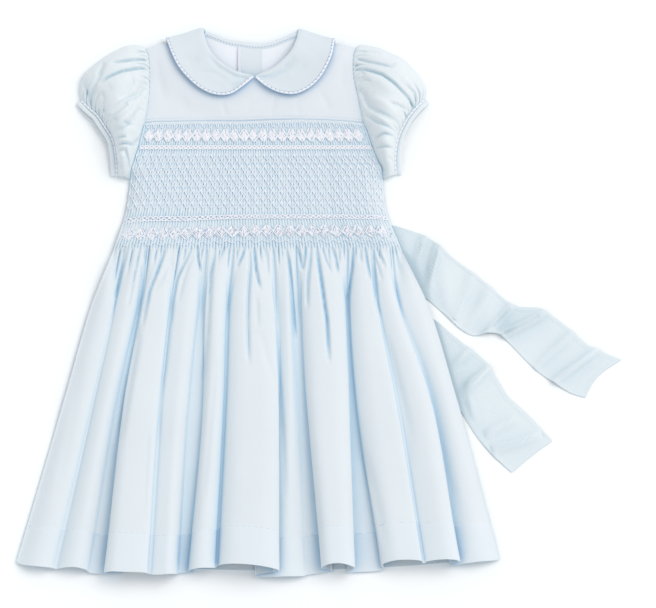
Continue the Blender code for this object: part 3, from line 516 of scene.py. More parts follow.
def clouded(name, colour, darker, scale, sockets):
    """A finish that drifts in places to a little darker, and the noise that it drifts by."""
    material, tree, shader = new_finish(name)
    place = add_node(tree, "TexCoord", {}).outputs["Object"]
    cloud = add_node(tree, "TexNoise", {"Vector": place, "Scale": scale}).outputs["Fac"]
    tone = mixed(tree, cloud, (*[darker * part for part in colour], 1.0), (*colour, 1.0))
    wire(tree, shader, {"Base Color": tone, **sockets})
    return material, cloud


def spun_thread(name, colour):
    """Stranded cotton thread: matt, with the twist of its strands."""
    material, twist = clouded(name, colour, 0.93, 1400.0, {"Roughness": 0.7, "Sheen Weight": 0.2})
    tree = material.node_tree
    bump = add_node(tree, "Bump", {"Strength": 0.4, "Distance": 0.00008, "Height": twist})
    wire(tree, tree.nodes["Principled BSDF"], {"Normal": bump.outputs["Normal"]})
    return material


casein, _ = clouded("white casein", (0.86, 0.87, 0.87), 0.94, 300.0, {"Roughness": 0.28})
white_thread = spun_thread("white thread", (0.90, 0.89, 0.925))
blue_thread = spun_thread("blue thread", (0.36, 0.49, 0.72))
soft_blue_thread = spun_thread("pale blue thread", (0.56, 0.69, 0.82))

# One stitch from end to end: share of its length, share of its thickness
STITCH_FORM = ((0.0, 0.35), (0.14, 0.9), (0.5, 1.0), (0.86, 0.9), (1.0, 0.35))
STITCH_SIDES, STITCH_FLAT = 6, 0.8  # corners round a stitch, and how flat it lies


def stitches(name, pairs, radius, thread):
    """Many short stitches of one thread as one piece, each a rounded capsule lying flat."""
    starts, ends = np.swapaxes(np.array(pairs, float), 0, 1)
    along = ends - starts
    across = unit(np.cross(along, (0.0, 0.0, 1.0)))
    up = unit(np.cross(across, along))
    turns = 2 * math.pi * np.arange(STITCH_SIDES) / STITCH_SIDES
    turned = (np.cos(turns)[None, :, None] * across[:, None]
              + STITCH_FLAT * np.sin(turns)[None, :, None] * up[:, None])
    rings = [(starts + along * share)[:, None] + radius * girth * turned
             for share, girth in STITCH_FORM]
    count = len(STITCH_FORM) * STITCH_SIDES
    numbers = np.arange(count).reshape(-1, STITCH_SIDES)
    pattern = quads(np.column_stack([numbers, numbers[:, :1]])) + numbers[[0, -1]].tolist()
    faces = [[index + number * count for index in face]
             for number in range(len(starts)) for face in pattern]
    piece = new_piece(name, np.stack(rings, axis=1), faces, thread, sharp=80)
    return sew_in(piece, "white_piping" if thread is white_thread else "blue_cotton")


def button(name, x, d):
    """Turned disc with four drilled holes, filled between its rim and the holes on both faces."""
    shell = bmesh.new()

    def add_ring(*shape):
        return [shell.verts.new(point) for point in circle(*shape)]

    def join(ring, following):
        for index in range(len(ring)):
            turn = (index + 1) % len(ring)
            shell.faces.new((ring[index], ring[turn], following[turn], following[index]))

    def outline(ring):
        return [shell.edges.get((ring[i], ring[i - 1])) or shell.edges.new((ring[i], ring[i - 1]))
                for i in range(len(ring))]

    rings = [add_ring(x, d, z, radius, BUTTON_SIDES) for radius, z in BUTTON_RIM]
    for ring, following in zip(rings, rings[1:]):
        join(ring, following)
    edges = [outline(rings[0]), outline(rings[-1])]
    for across, along in ((-1, -1), (-1, 1), (1, -1), (1, 1)):
        middle = (x + across * HOLE_OFFSET, d + along * HOLE_OFFSET)
        ends = [add_ring(*middle, BUTTON_RIM[end][1], HOLE_RADIUS, HOLE_SIDES) for end in (0, -1)]
        join(*ends)
        edges = [around + outline(end) for around, end in zip(edges, ends)]
    for around in edges:
        bmesh.ops.triangle_fill(shell, edges=around, use_beauty=True)
    shell.verts.index_update()
    points = [tuple(vertex.co) for vertex in shell.verts]
    faces = [[vertex.index for vertex in face.verts] for face in shell.faces]
    shell.free()
    return new_piece(name, points, faces, casein, sharp=40)


holding = []
for number, depth in enumerate(BUTTON_DEPTHS, start=1):
    piece = button("back_button_%d" % number, NECK_CENTRE[0], depth)
    sew_in(piece, "pearl_button", "button_%d" % number)
    for across in (-1, 1):
        for shift in (-THREADS_APART, THREADS_APART):
            hole_x = NECK_CENTRE[0] + across * HOLE_OFFSET + shift
            holding.append([(hole_x, depth + end * HOLE_OFFSET, THREADS_UP) for end in (-1, 1)])
stitches("button_threads", holding, radius=0.16, thread=white_thread)


# ---- smocked front and skirt -------------------------------------------------------------------
# The front below the yoke is one wide panel of blue cotton. It is drawn up in 96 pleats and smocked
# from the yoke seam to the waist, then falls in soft folds from small gathers to a deep hem.

PLEATS = 96
PER_PLEAT = 4                       # columns of the cloth to a pleat
COLUMNS = PLEATS * PER_PLEAT
PLEAT_HEIGHT = 1.6
PLEAT_FORM = (0.0, 0.74, 1.0, 0.74)     # across one pleat
wandering = random.Random(12)
PLEAT_WANDER = np.array([wandering.uniform(-1.0, 1.0) for _ in range(PLEATS + 1)])
PLEAT_GIRTH = np.array([wandering.uniform(0.8, 1.15) for _ in range(PLEATS + 1)])
CROWN, ROLL_OFF = 8.0, 22.0         # the front stands off the back, and comes down at the sides
SHOULDER_HALF, SHOULDER_END, SHOULDER_SLOPE = 105.0, 2.4, 0.24      # the line where the crown starts
OVER_UNDERARM = 1.2                 # the crown widens this fast above the underarm
FRONT_ABOVE = 2.1                   # middle of the front over the underside of the back
BODICE_HALF = 0.5                   # half the thickness of the cloth under the pleats
SMOCKING_TOP, TOP_LEVEL = 81.4, 93.0    # the pleats follow the seam's line at the top, and level out
LATTICE_TOP, LATTICE_ROW = 114.0, 6.29      # honeycomb of pleats, half height of its cells
LATTICE_FROM, LATTICE_TO = (108.0, 113.0), (171.0, 176.0)
DIAMOND_PULLS, DIAMOND_REACH = (94.6, 193.4), (2.0, 10.0)   # where the diamonds draw pleats together
LATTICE_HOLD, DIAMOND_HOLD = 0.30, 0.3      # how much lower a pleat is where threads hold it
LATTICE_PULL, DIAMOND_PULL, PLEAT_LEAN = 0.30, 0.24, 0.13   # how far it leans, in pleats
# How far the pleats stand out at some depths: less where a row of stitches holds them down
RISE_DEPTHS = (SMOCKING_TOP, 84, 88, 101, 104, 107, 110, 176, 179, 183, 187, 200, 204, WAIST)
RISES = (-0.2, 0.7, 0.6, 0.6, 0.8, 0.6, 0.85, 0.85, 0.6, 0.8, 0.6, 0.6, 0.9, 1.0)
SMOCKING_ROWS = 85
SKIRT_ROWS = 108
SKIRT_END = 540.0
HEM_SHARE = 0.882                   # top of the turned-up hem, as a share of the skirt's length
FEET_APART, FOOT_SPREAD, SIDE_FOOT = 0.9, 4.0, 2.0
FOLDS_OPEN, TUCKS_OPEN = (WAIST, 275.0), (300.0, 530.0)     # where folds and their tucked feet grow
FLAT_TOPPED, GENTLE = 3.6, 1.7      # how squarely a crest turns down to a steep or an easy side
TIE_CLEARANCE, CLEAR_BELOW = 1.8, (370.0, 420.0)    # the skirt stands this much higher over the tie
PLAIN_VALLEY = 2.2                  # height of the cloth at the left side seam
CREASE_DEEPER = 1.25
LAYERS_APART = 0.3                  # the front never comes closer to the back than this
HEM_STEP = 0.45                     # the hem's second layer inside lifts its face
# Skirt folds from left to right: points across, and the outer edges of the ridge at these depths
FOLD_DEPTHS = (208, 255, 368, 530)
FOLD_EDGES = (
    (6, (-137.5, -154.0, -185.0, -229.5), (-128, -136, -160, -198)),
    (8, (-126, -133, -156, -190), (-106, -113, -137, -163)),
    (10, (-103, -108, -129, -149), (-74, -81, -93, -104)),
    (8, (-71, -78, -88, -98), (-46, -53, -65, -75)),
    (8, (-43, -46, -49, -64), (-20, -25, -29, -37)),
    (12, (-16, -20, -24, -31.5), (19, 21, 28, 30.5)),
    (8, (23, 27, 28, 9), (42, 40.5, 45, 51)),
    (12, (46, 49, 54, 67), (93, 93, 98, 104)),
    (8, (98, 98, 104, 126), (120, 123, 143, 168)),
    (8, (122, 126, 147, 172), (139, 143, 179, 209)),
    (6, (141, 147, 184, 203.5), (148, 168.5, 202.0, 243)),
)
# Their ridges and the valleys to their right, how far each foot is tucked under at the hem, where
# the crest stands, how much of the height each edge reaches, and the hem's depth at feet and crest
SHAPE_COLUMNS = ("ridge_upper", "ridge_hem", "valley_upper", "valley_hem", "tuck_left", "tuck_right",
                 "crest", "steep_left", "steep_right", "hem_left", "hem_crest", "hem_right")
FOLD_SHAPES = (
    (9, 12, 6.5, 4.6, 0, 0, 0.55, 0.0, 0.45, 532, 540, 540),
    (12, 13, 4.0, 2.2, 0, 0, 0.55, 0.20, 0.50, 541, 540, 545),
    (13, 22, 9.0, 14.0, 24, 0, 0.42, 0.45, 0.62, 545, 548, 548),
    (13, 19, 4.0, 2.2, 0, 0, 0.60, 0.22, 0.55, 548, 550, 544),
    (14, 18, 7.0, 9.0, 8, 0, 0.55, 0.40, 0.45, 544, 543, 540),
    (15, 25, 8.5, 5.0, 0, 28, 0.45, 0.45, 0.50, 538, 541, 548),
    (12, 10, 4.0, 2.2, 0, 0, 0.60, 0.20, 0.30, 548, 550, 546),
    (14, 24, 4.0, 2.2, 14, 10, 0.45, 0.45, 0.50, 543, 539, 544),
    (14, 19, 9.0, 13.5, 5, 0, 0.42, 0.45, 0.80, 542, 534, 537),
    (13, 21, 8.0, 4.0, 0, 14, 0.62, 0.15, 0.60, 537, 534, 537),
    (9, 11, 2.2, 2.2, 0, 0, 0.55, 0.15, 0.0, 537, 535, 529),
)
FOLD_FORMS = [dict(zip(SHAPE_COLUMNS, shape)) for shape in FOLD_SHAPES]
# Gathers under the smocking: x at the waist, length down the skirt, depth
GATHER_DEEPER, VALLEY_START = 2.5, 3.2
FULL_HEIGHT = 1.2                   # lift of the skirt between its gathers
SETTLED_WITHIN = 10.0               # gathers grow over this many columns from each side seam
GATHERS = (
    (-139, 24, 1.2), (-131, 52, 1.6), (-119, 36, 1.2), (-102, 44, 1.4), (-95, 24, 1.0),
    (-90, 18, 0.8), (-66, 22, 1.0), (-49, 18, 1.0), (-32, 22, 1.0), (-22, 28, 1.1),
    (-14, 18, 0.9), (8, 20, 1.0), (26, 24, 1.1), (30, 16, 0.8), (76, 22, 1.0),
    (92, 18, 0.8), (104, 18, 0.9), (127, 20, 1.0), (137.5, 32, 1.1), (143, 44, 1.3),
)
# Creases down the folds: path of (x, d), half width, depth (a ridge where it is negative)
SKIRT_CREASES = (
    (((-124.5, 211), (-132, 241), (-137, 262)), 1.6, 2.7),
    (((-112, 210), (-118, 240), (-124, 272)), 1.2, 2.2),
    (((-110.5, 229), (-109.5, 243)), 1.2, 1.3),
    (((-107, 209), (-107, 223)), 1.1, 2.1),
    (((-86, 209), (-93, 231), (-102, 255), (-109, 291)), 1.5, 3.4),
    (((-78, 211), (-84, 229), (-90, 244), (-99, 256)), 2.4, 1.3),
    (((-72, 210), (-80, 226), (-82, 246), (-83, 295), (-87, 333), (-93, 369), (-94, 410)), 2.6, 1.5),
    (((-60, 210), (-67, 226), (-75, 243), (-79, 267), (-81, 290)), 1.4, 2.7),
    (((-58, 219), (-64, 229), (-69, 246), (-74, 267)), 1.9, 1.4),
    (((-54.5, 209), (-54, 223), (-51, 236)), 1.3, 2.9),
    (((-37, 210), (-38, 221), (-41, 238), (-42, 264), (-44, 300)), 1.7, 2.7),
    (((-27, 209), (-32, 221)), 1.2, 1.8),
    (((-8, 209), (-9, 218), (-15, 231)), 1.2, 2.4),
    (((-3, 209), (-2, 229), (-4, 264), (-4.5, 291), (-3, 333)), 1.8, 2.7),
    (((2, 210), (4, 234), (8, 254)), 1.5, 3.2),
    (((5, 264), (6, 294)), 1.6, 1.3),
    (((12, 210), (14, 221)), 1.2, 1.6),
    (((15, 213), (16, 240)), 1.3, 1.4),
    (((33, 210), (36.5, 223), (38.5, 240), (40, 261), (43, 302)), 1.5, 3.4),
    (((45, 209), (48, 219), (50, 232)), 1.4, 3.2),
    (((54, 209), (53, 219), (50.5, 233)), 1.5, 2.7),
    (((58.5, 209), (58, 225), (56, 246), (55.5, 274)), 1.6, 2.6),
    (((64, 209), (66, 222), (69, 243), (72, 266), (75, 288), (77, 330)), 1.7, 4.0),
    (((70, 210), (74, 224), (79, 236)), 1.2, 1.8),
    (((80, 210), (84, 222), (85.5, 237)), 1.5, 2.7),
    (((87, 209), (87, 226)), 1.3, 1.6),
    (((101, 210), (100.5, 230), (98, 250), (95.5, 266)), 1.5, 3.7),
    (((108, 209), (109, 226)), 1.5, 1.8),
    (((113, 210), (115, 225), (119, 248)), 1.4, 2.7),
    (((119, 209), (121, 228), (122, 246), (123, 262), (126, 280)), 1.7, 2.6),
    (((126, 290), (138, 333), (148, 369), (156, 410), (160, 440)), 4.5, 1.0),
    (((123, 209), (130, 222), (134, 232)), 1.3, 2.1),
    (((123, 220), (130, 245)), 1.3, 1.3),
    (((131.5, 209), (139, 235), (145, 261), (150, 284)), 2.2, 1.1),
    (((135, 302), (143, 333), (151, 369), (161, 410)), 3.0, 1.2),
    (((149, 276), (168, 323), (180, 369), (188, 411), (197, 452), (208, 488), (205, 530)), 4.1, 1.2),
    (((-43, 291), (-49, 348)), 2.2, 1.5),
    (((-112, 302), (-118, 333), (-124, 369), (-131, 411)), 3.0, 1.9),
    (((-99, 400), (-101, 440), (-104, 490)), 2.6, -1.2),
    (((8, 300), (22, 350), (28, 400)), 3.4, 0.9),
    (((24, 300), (30, 380), (33, 470)), 2.2, 0.9),
    (((-170, 330), (-182, 400), (-195, 470)), 4.5, 1.4),
    (((-36, 330), (-42, 400), (-48, 470)), 3.0, 1.0),
    (((112, 420), (124, 470), (134, 520)), 3.4, 1.2),
)


def front_height(x, d):
    """Middle surface of the front bodice: crowned, and brought down at shoulders and side seams."""
    to_end = SHOULDER_HALF - np.minimum(np.abs(x - NECK_CENTRE[0]), SHOULDER_HALF)
    deep = np.maximum(d, UNDERARM)
    edge = np.where(x < 0, side_edge("left", deep), side_edge("right", deep))
    to_side = np.abs(edge - x) + OVER_UNDERARM * np.maximum(0.0, UNDERARM - d)

    def round_off(distance):
        return 1.0 - (1.0 - np.clip(distance / ROLL_OFF, 0.0, 1.0)) ** 2

    below_shoulder = d - (SHOULDER_END - SHOULDER_SLOPE * to_end)
    return FRONT_ABOVE + lift(x, d) + CROWN * round_off(below_shoulder) * round_off(to_side)


def front_edges(d):
    """Left and right edge of the front panel at a depth."""
    return [np.where(d >= UNDERARM, side_edge(side, d), np.interp(d, arm_d, arm_x))
            for side, (arm_x, arm_d) in LOWER_ARMS.items()]


def smocking(column, depth):
    """Outer surface of the pleats: columns may be whole or between, depths go from seam to waist."""
    left, right = front_edges(depth)
    pitch = (right - left) / PLEATS
    x = left + pitch * column / PER_PLEAT
    d = depth + (seam_at(x) + BELOW_SEAM - SMOCKING_TOP) * fade(depth, SMOCKING_TOP, TOP_LEVEL)
    pleat = np.floor(column / PER_PLEAT)
    form = np.interp(column % PER_PLEAT, range(PER_PLEAT + 1), PLEAT_FORM + PLEAT_FORM[:1])
    held = np.cos(math.pi * (depth - LATTICE_TOP) / LATTICE_ROW)
    inside = (1.0 - fade(depth, *LATTICE_FROM)) * fade(depth, *LATTICE_TO)
    threes = 2 * math.pi * (pleat - 1) / 3
    fours = 2 * math.pi * (pleat - 3) / 4
    diamonds = sum(fade(np.abs(depth - row), *DIAMOND_REACH) for row in DIAMOND_PULLS)
    share = (1.0 - inside * (LATTICE_HOLD + LATTICE_HOLD * np.cos(threes) * held)
             - DIAMOND_HOLD * diamonds * (0.5 - 0.5 * np.cos(fours)))
    number = np.asarray(pleat).astype(int)
    wander, girth = PLEAT_WANDER[number], PLEAT_GIRTH[number]
    pull = LATTICE_PULL * inside * np.sin(threes) * held - DIAMOND_PULL * diamonds * np.sin(fours)
    pull += PLEAT_LEAN * wander * np.sin(0.35 * depth + 9.0 * wander)
    rise = np.interp(depth, RISE_DEPTHS, RISES)
    z = front_height(x, d) + BODICE_HALF + PLEAT_HEIGHT * girth * rise * share * form
    return x + pull * pitch * form, d, z


def fold_feet(depth):
    """Edges and feet of the folds across a row: feet are tucked under, or spread to meet the next."""
    tucked = 1.0 - fade(depth, *TUCKS_OPEN)
    spread = 1.0 - fade(depth, *FOLDS_OPEN)
    edges = [[read(FOLD_DEPTHS, side, depth) for side in fold[1:]] for fold in FOLD_EDGES]
    feet = [[left + form["tuck_left"] * tucked, right - form["tuck_right"] * tucked]
            for (left, right), form in zip(edges, FOLD_FORMS)]
    for near, far, near_form, far_form in zip(feet, feet[1:], FOLD_FORMS, FOLD_FORMS[1:]):
        room = min(max((far[0] - near[1]) / 2 - FEET_APART, 0.0), FOOT_SPREAD)
        if not near_form["tuck_right"]:
            near[1] += spread * room
        if not far_form["tuck_left"]:
            far[0] -= spread * room
    feet[0][0] -= spread * SIDE_FOOT
    feet[-1][1] += spread * SIDE_FOOT
    return edges, feet


def fold_points(count, edges, feet, form, before, depth):
    """One fold of the skirt across one row: (x, z, hem depth) from its left foot to its right."""
    left, right = edges
    grown = 1.0 - fade(depth, *FOLDS_OPEN)
    fuller = 1.0 - fade(depth, 240.0, SKIRT_END)
    clear = TIE_CLEARANCE * fade(depth, *CLEAR_BELOW)

    def grow(part, of):
        return of[part + "_upper"] + (of[part + "_hem"] - of[part + "_upper"]) * fuller + clear

    floor_left, floor_right = grow("valley", before), grow("valley", form)
    ridge = grow("ridge", form)

    def turn(foot, floor, tuck, edge):
        if tuck:
            return (foot + 0.15 * (edge[0] - foot), floor + min(2.6, 0.3 * (ridge - floor)))
        return (foot + 0.5 * (edge[0] - foot), floor + 0.25 * (edge[1] - floor))

    def over(share):
        crest = form["crest"]
        steep = form["steep_left"] if share < crest else form["steep_right"]
        reach = (crest - share) / crest if share < crest else (share - crest) / (1.0 - crest)
        floor = floor_left + (floor_right - floor_left) * share
        rise = steep + (1.0 - steep) * (1.0 - reach ** (GENTLE if steep < 0.3 else FLAT_TOPPED))
        return (left + (right - left) * share, floor + (ridge - floor) * rise)

    rounded_sides = count >= 8
    cells = count - (5 if rounded_sides else 3)
    line = [over(index / cells) for index in range(cells + 1)]
    if rounded_sides:
        line.insert(0, turn(feet[0], floor_left, form["tuck_left"], line[0]))
        line.append(turn(feet[1], floor_right, form["tuck_right"], line[-1]))
    line = [(feet[0], floor_left)] + line + [(feet[1], floor_right)]

    points = []
    for index, (x, z) in enumerate(line):
        share = index / (count - 1)
        crest_share = 1.0 - abs(2.0 * share - 1.0)
        foot_hem = form["hem_left"] if share < 0.5 else form["hem_right"]
        hem = foot_hem + (form["hem_crest"] - foot_hem) * crest_share
        even_x = left + (right - left) * share
        points.append((even_x + (x - even_x) * grown, z, hem))
    return points


def rounded(line, times=3):
    """Corners cut off a line, its ends kept, so that folds turn softly and never overshoot."""
    for _ in range(times):
        near, far = 0.75 * line[:-1] + 0.25 * line[1:], 0.25 * line[:-1] + 0.75 * line[1:]
        middle = np.stack([near, far], axis=1).reshape(-1, line.shape[1])
        line = np.concatenate([line[:1], middle[1:-1], line[-1:]])
    return line


def skirt_line(depth):
    """Middle line of the front skirt across one row, with the hem depth that each point runs to."""
    grown = 1.0 - fade(depth, *FOLDS_OPEN)
    before = {"valley_upper": PLAIN_VALLEY, "valley_hem": PLAIN_VALLEY}
    line = []
    for fold, edges, feet, form in zip(FOLD_EDGES, *fold_feet(depth), FOLD_FORMS):
        line += fold_points(fold[0], edges, feet, form, before, depth)
        before = form
    line = np.array(line, float)
    line[:, 1] = front_height(line[:, 0], WAIST) * (1.0 - grown) + line[:, 1] * grown
    return rounded(line)


all_columns = np.arange(COLUMNS + 1)
waist_line = skirt_line(WAIST)
waist_left, waist_right = front_edges(WAIST)
waist_x = waist_left + (waist_right - waist_left) * all_columns / COLUMNS
threads_at = np.interp(waist_x, waist_line[:, 0], np.arange(len(waist_line)))

smock_rows = np.linspace(SMOCKING_TOP, WAIST, SMOCKING_ROWS)
smock_face = np.stack(smocking(*np.meshgrid(all_columns, smock_rows)), axis=2)
smock_plan = smock_face[..., :2]
smock_back = raised(smock_plan, front_height(smock_plan[..., 0], smock_plan[..., 1]) - BODICE_HALF)

# Rows of the skirt lie closest at the waist and at the top of the turned-up hem
skirt_shares = np.concatenate([
    0.86 * np.linspace(0, 1, SKIRT_ROWS - 15)[1:] ** 1.3,
    (0.868, 0.874, 0.879, 0.8825, 0.886, 0.892),
    np.linspace(0.902, 1.0, 10),
])
skirt_rows = []
for share in skirt_shares:
    line = skirt_line(WAIST + (SKIRT_END - WAIST) * share)
    x, z, hem = places(line, np.arange(len(line)), threads_at).T
    skirt_rows.append(np.column_stack([x, WAIST + (hem - WAIST) * share, z]))
skirt = np.array(skirt_rows)
below = skirt[..., 1] - WAIST


def columns_from(at):
    """How many columns away each column is from the one that starts at a place along the waist."""
    return np.abs(all_columns - np.round((at - waist_left) / (waist_right - waist_left) * COLUMNS))


gathered = np.zeros(skirt.shape[:2])
for gather_x, length, depth in GATHERS:
    held = GATHER_DEEPER * depth * fade(below, 0.35 * length, 1.15 * length)
    gathered += held * np.exp(-columns_from(gather_x) / (1.15 + 0.02 * below))
for fold, following in zip(FOLD_EDGES, FOLD_EDGES[1:]):
    away = columns_from((fold[2][0] + following[1][0]) / 2)
    gathered += VALLEY_START * fade(below, 30.0, 90.0) * np.exp(-away / (1.2 + 0.025 * below))
gathered -= FULL_HEIGHT * fade(below, 6.0, 80.0)
pleat_end = np.array(PLEAT_FORM * PLEATS + PLEAT_FORM[:1])
pleat_end *= np.repeat(PLEAT_GIRTH, PER_PLEAT)[:COLUMNS + 1]
crimp = PLEAT_HEIGHT * pleat_end[None, :] * fade(below, 0.0, 9.0)
creased = CREASE_DEEPER * troughs(skirt, SKIRT_CREASES)
turned_up = HEM_STEP * (1.0 - fade(skirt_shares, HEM_SHARE - 0.004, HEM_SHARE + 0.004))[:, None]
settled = np.minimum(1.0, np.minimum(all_columns, COLUMNS - all_columns)[None, :] / SETTLED_WITHIN)
skirt_face, skirt_back = two_faces(skirt, SHEET / 2)
blend_in = fade(below, 0.0, 7.0)
skirt_face[..., 2] += settled * (-gathered * (1.0 - 0.8 * blend_in) - creased) + crimp + turned_up
skirt_back[..., 2] += settled * (-gathered * (1.0 - blend_in) - creased)
panel_top = back_height(skirt[..., 0], skirt[..., 1]) + 0.5
skirt_back[..., 2] = np.maximum(skirt_back[..., 2], panel_top + LAYERS_APART)
skirt_face[..., 2] = np.maximum(skirt_face[..., 2], skirt_back[..., 2] + LAYERS_APART)
front_face = np.concatenate([smock_face, skirt_face])
front_back = np.concatenate([smock_back, skirt_back])
front_skirt = shell_of_cloth("smocked_front_and_skirt", front_face, front_back, skirt_cotton,
                             back_steps=(3, 2))
# The turned-up hem has a deeper painted shade: darker patches in the hollows under its folds.
doubled_cotton = woven("doubled cotton of the hem", (0.735, 0.775, 0.805), (0.72, 0.762, 0.793),
                       painted_shade_colour=(0.38, 0.57, 0.73), reach=0.021)
front_skirt.data.materials.append(doubled_cotton)
hem_row = SMOCKING_ROWS + int(np.argmin(np.abs(skirt_shares - HEM_SHARE)))
for cell in front_skirt.data.polygons[hem_row * COLUMNS:(len(front_face) - 1) * COLUMNS]:
    cell.material_index = 1
sew_in(front_skirt, "blue_cotton", "front_skirt")


# ---- smocking stitches -------------------------------------------------------------------------
# Stranded cotton embroidered over the pleats, in white from top to bottom: a wave, satin diamonds, a
# cable, a trellis, a cable, satin diamonds and a wave. Small blue stitches lie among them.

# Each wave: its two depths, pleats to a full turn, first pleat, and how uneven it is
WAVES = (((82.4, 87.4), 3, 0, 0.3), ((201.8, 206.0), 4, 1, 0.6))
DIAMOND_DEPTHS, DIAMOND_RAGGED = (94.7, 193.4), (0.28, 0.6)     # each row, and how uneven it is
DIAMOND_FIRST, DIAMOND_EVERY = 3, 4     # pleat of the first diamond, and pleats to the next
DIAMOND_NESTS = 6                   # stitches in each quarter of a diamond
DIAMOND_HALF_WIDTH, DIAMOND_HALF_HEIGHT = 2.3, 7.2     # in pleats, and in millimetres
TRELLIS_ROWS = 9
PAST_PLEAT = 0.08                   # each diagonal passes its pleats by this share of its length
CABLE_TILT, CABLE_PAST = 0.6, 0.1   # each cable stitch leans, and passes its two pleats
CABLE_DEPTHS, CABLE_OFFSETS = (106.9, 178.6), (-1.4, 0.0, 1.4)  # each cable has three rows
SAG_X, SAG = (-135, -70, -10, 60, 140), (3.4, 2.6, 0.2, 0.1, 0.4)     # the lower bands hang at left
# Blue specks: middle of each row, and how far they stray from it
SPECKS = ((94.7, 5.0), (193.4, 5.5), (193.4, 5.0), (193.4, 4.0), (178.6, 1.4))


def on_pleats(pleat, depth, above=0.2):
    """Point on a straight line over the pleats' crests; the pleat may fall between two of them."""
    pleat = min(max(pleat, 0.0), PLEATS - 1.0)
    near = min(math.floor(pleat), PLEATS - 2)
    crests = [np.array(smocking(PER_PLEAT * (near + step) + PER_PLEAT / 2, depth), float)
              for step in (0, 1)]
    point = crests[0] + (crests[1] - crests[0]) * (pleat - near)
    point[1] += np.interp(point[0], SAG_X, SAG) * (1.0 - fade(depth, 172.0, 180.0))
    point[2] += above
    return point


shaky = random.Random(4)


def zigzag(depths, pleats_across, first, uneven=0.3):
    """Straight diagonals over the pleats between two depths in turn, each made of two stitches."""
    step = pleats_across / 4
    turns = int((PLEATS - 1 - first) / step)
    middle = (depths[0] + depths[1]) / 2
    levels = (depths[0], middle, depths[1], middle)
    points = [on_pleats(first + step * turn, levels[turn % 4] + shaky.uniform(-uneven, uneven))
              for turn in range(turns + 1)]
    return [(start - PAST_PLEAT * (end - start), end + PAST_PLEAT * (end - start))
            for start, end in zip(points, points[1:])]


both_waves = [pair for wave in WAVES for pair in zigzag(*wave)]
stitches("smocking_waves", both_waves, radius=0.42, thread=white_thread)

satin = []
for middle, ragged in zip(DIAMOND_DEPTHS, DIAMOND_RAGGED):
    for pleat in range(DIAMOND_FIRST, PLEATS - 1, DIAMOND_EVERY):
        for nest in range(DIAMOND_NESTS):
            share = 1.0 - nest / DIAMOND_NESTS
            for side, upright in ((-1, -1), (1, -1), (-1, 1), (1, 1)):
                half = DIAMOND_HALF_WIDTH * share + shaky.uniform(-0.5, 0.5) * ragged
                tip = middle + upright * (DIAMOND_HALF_HEIGHT * share + shaky.uniform(-1, 1) * ragged)
                satin.append((on_pleats(pleat + side * half, middle - 0.45 * upright, above=0.42),
                              on_pleats(pleat + side * 0.03, tip, above=0.5)))
stitches("smocking_diamonds", satin, radius=0.5, thread=white_thread)

cables = []
for middle in CABLE_DEPTHS:
    for row, offset in enumerate(CABLE_OFFSETS):
        for pleat in range(PLEATS - 1):
            tilt = CABLE_TILT if (pleat + row) % 2 else -CABLE_TILT
            cables.append((on_pleats(pleat - CABLE_PAST, middle + offset - tilt),
                           on_pleats(pleat + 1 + CABLE_PAST, middle + offset + tilt)))
stitches("smocking_cables", cables, radius=0.76, thread=white_thread)

trellis = []
for row in range(TRELLIS_ROWS):
    top = LATTICE_TOP + LATTICE_ROW * row
    trellis += zigzag((top, top + LATTICE_ROW), 3, 1.0 if row % 2 else -0.5)
stitches("smocking_trellis", trellis, radius=0.52, thread=white_thread)

specks = []
for middle, stray in SPECKS:
    for pleat in range(1, PLEATS - 1):
        at, level = pleat + shaky.uniform(-0.3, 0.3), middle + stray * shaky.uniform(-1.0, 1.0)
        specks.append([on_pleats(at + end * 0.16, level + end * 0.4, above=0.9) for end in (-1, 1)])
stitches("smocking_blue_specks", specks, radius=0.26, thread=blue_thread)


# ---- front yoke --------------------------------------------------------------------------------
# Plain yoke of blue cotton over its white lining, topstitched just above the seam that holds the
# smocking. Its neck edge is hidden under the collar.

COLLAR = {
    "left": {
        "fold": ((-1, 32), (-15, 28.8), (-25.5, 23.1), (-36, 14.9), (-44, 3.5), (-47.3, -7),
                 (-49, -16.5)),
        "edge": ((0.5, 34.2), (-10, 44.1), (-19, 51), (-33, 53.4), (-48.5, 48.2), (-61, 38.4),
                 (-72, 26), (-80.5, 9), (-84.5, -4)),
        "back fold": ((-47, -17), (-36, -12), (-24, -7.2), (-12, -5), (-8, -4.6)),
        "back edge": ((-84.5, -4), (-76, 17), (-58, 35), (-32, 39.5), (-15.5, 24)),
    },
    "right": {
        "fold": ((4, 32.4), (8, 30.6), (19, 25.7), (30, 16.9), (39, 6.6), (44, -4.8), (46, -15.5)),
        "edge": ((4.4, 35), (12, 42), (22, 48.6), (39, 52.4), (53, 48.2), (65, 38.4),
                 (73, 26), (79, 12), (81.5, -3)),
        "back fold": ((44.5, -16), (34, -10.6), (21, -5), (9, -3.0), (5, -2.8)),
        "back edge": ((81.5, -3), (74, 17), (56, 35), (30, 39.5), (12.5, 24)),
    },
}
TOPSTITCH_UP = 2.7                  # from the seam to the row of stitches above it
TOPSTITCH_STEP, TOPSTITCH_LONG = 2.5, 1.6
TOPSTITCH_SUNK, TOPSTITCH_WIDE, SEAM_SUNK = 0.35, 0.7, 0.8      # the cloth dips along both
FRONT_YOKE_HALF = 0.45              # half its thickness
YOKE_CREASES = (
    (((-97, 6), (-93, 30), (-89, 58)), 4.0, 0.9),
    (((-30, 60), (-26, 74)), 2.6, 0.7),
    (((24, 52), (18, 74)), 3.0, 0.7),
    (((68, 47), (78, 68)), 3.4, 0.8),
    (((-70, 52), (-66, 72)), 4.5, 0.5),
    (((92, 14), (90, 44)), 4.0, 0.8),
    (((44, 58), (47, 74)), 3.0, 0.4),
    (((-2, 56), (-4, 72)), 3.4, 0.4),
)

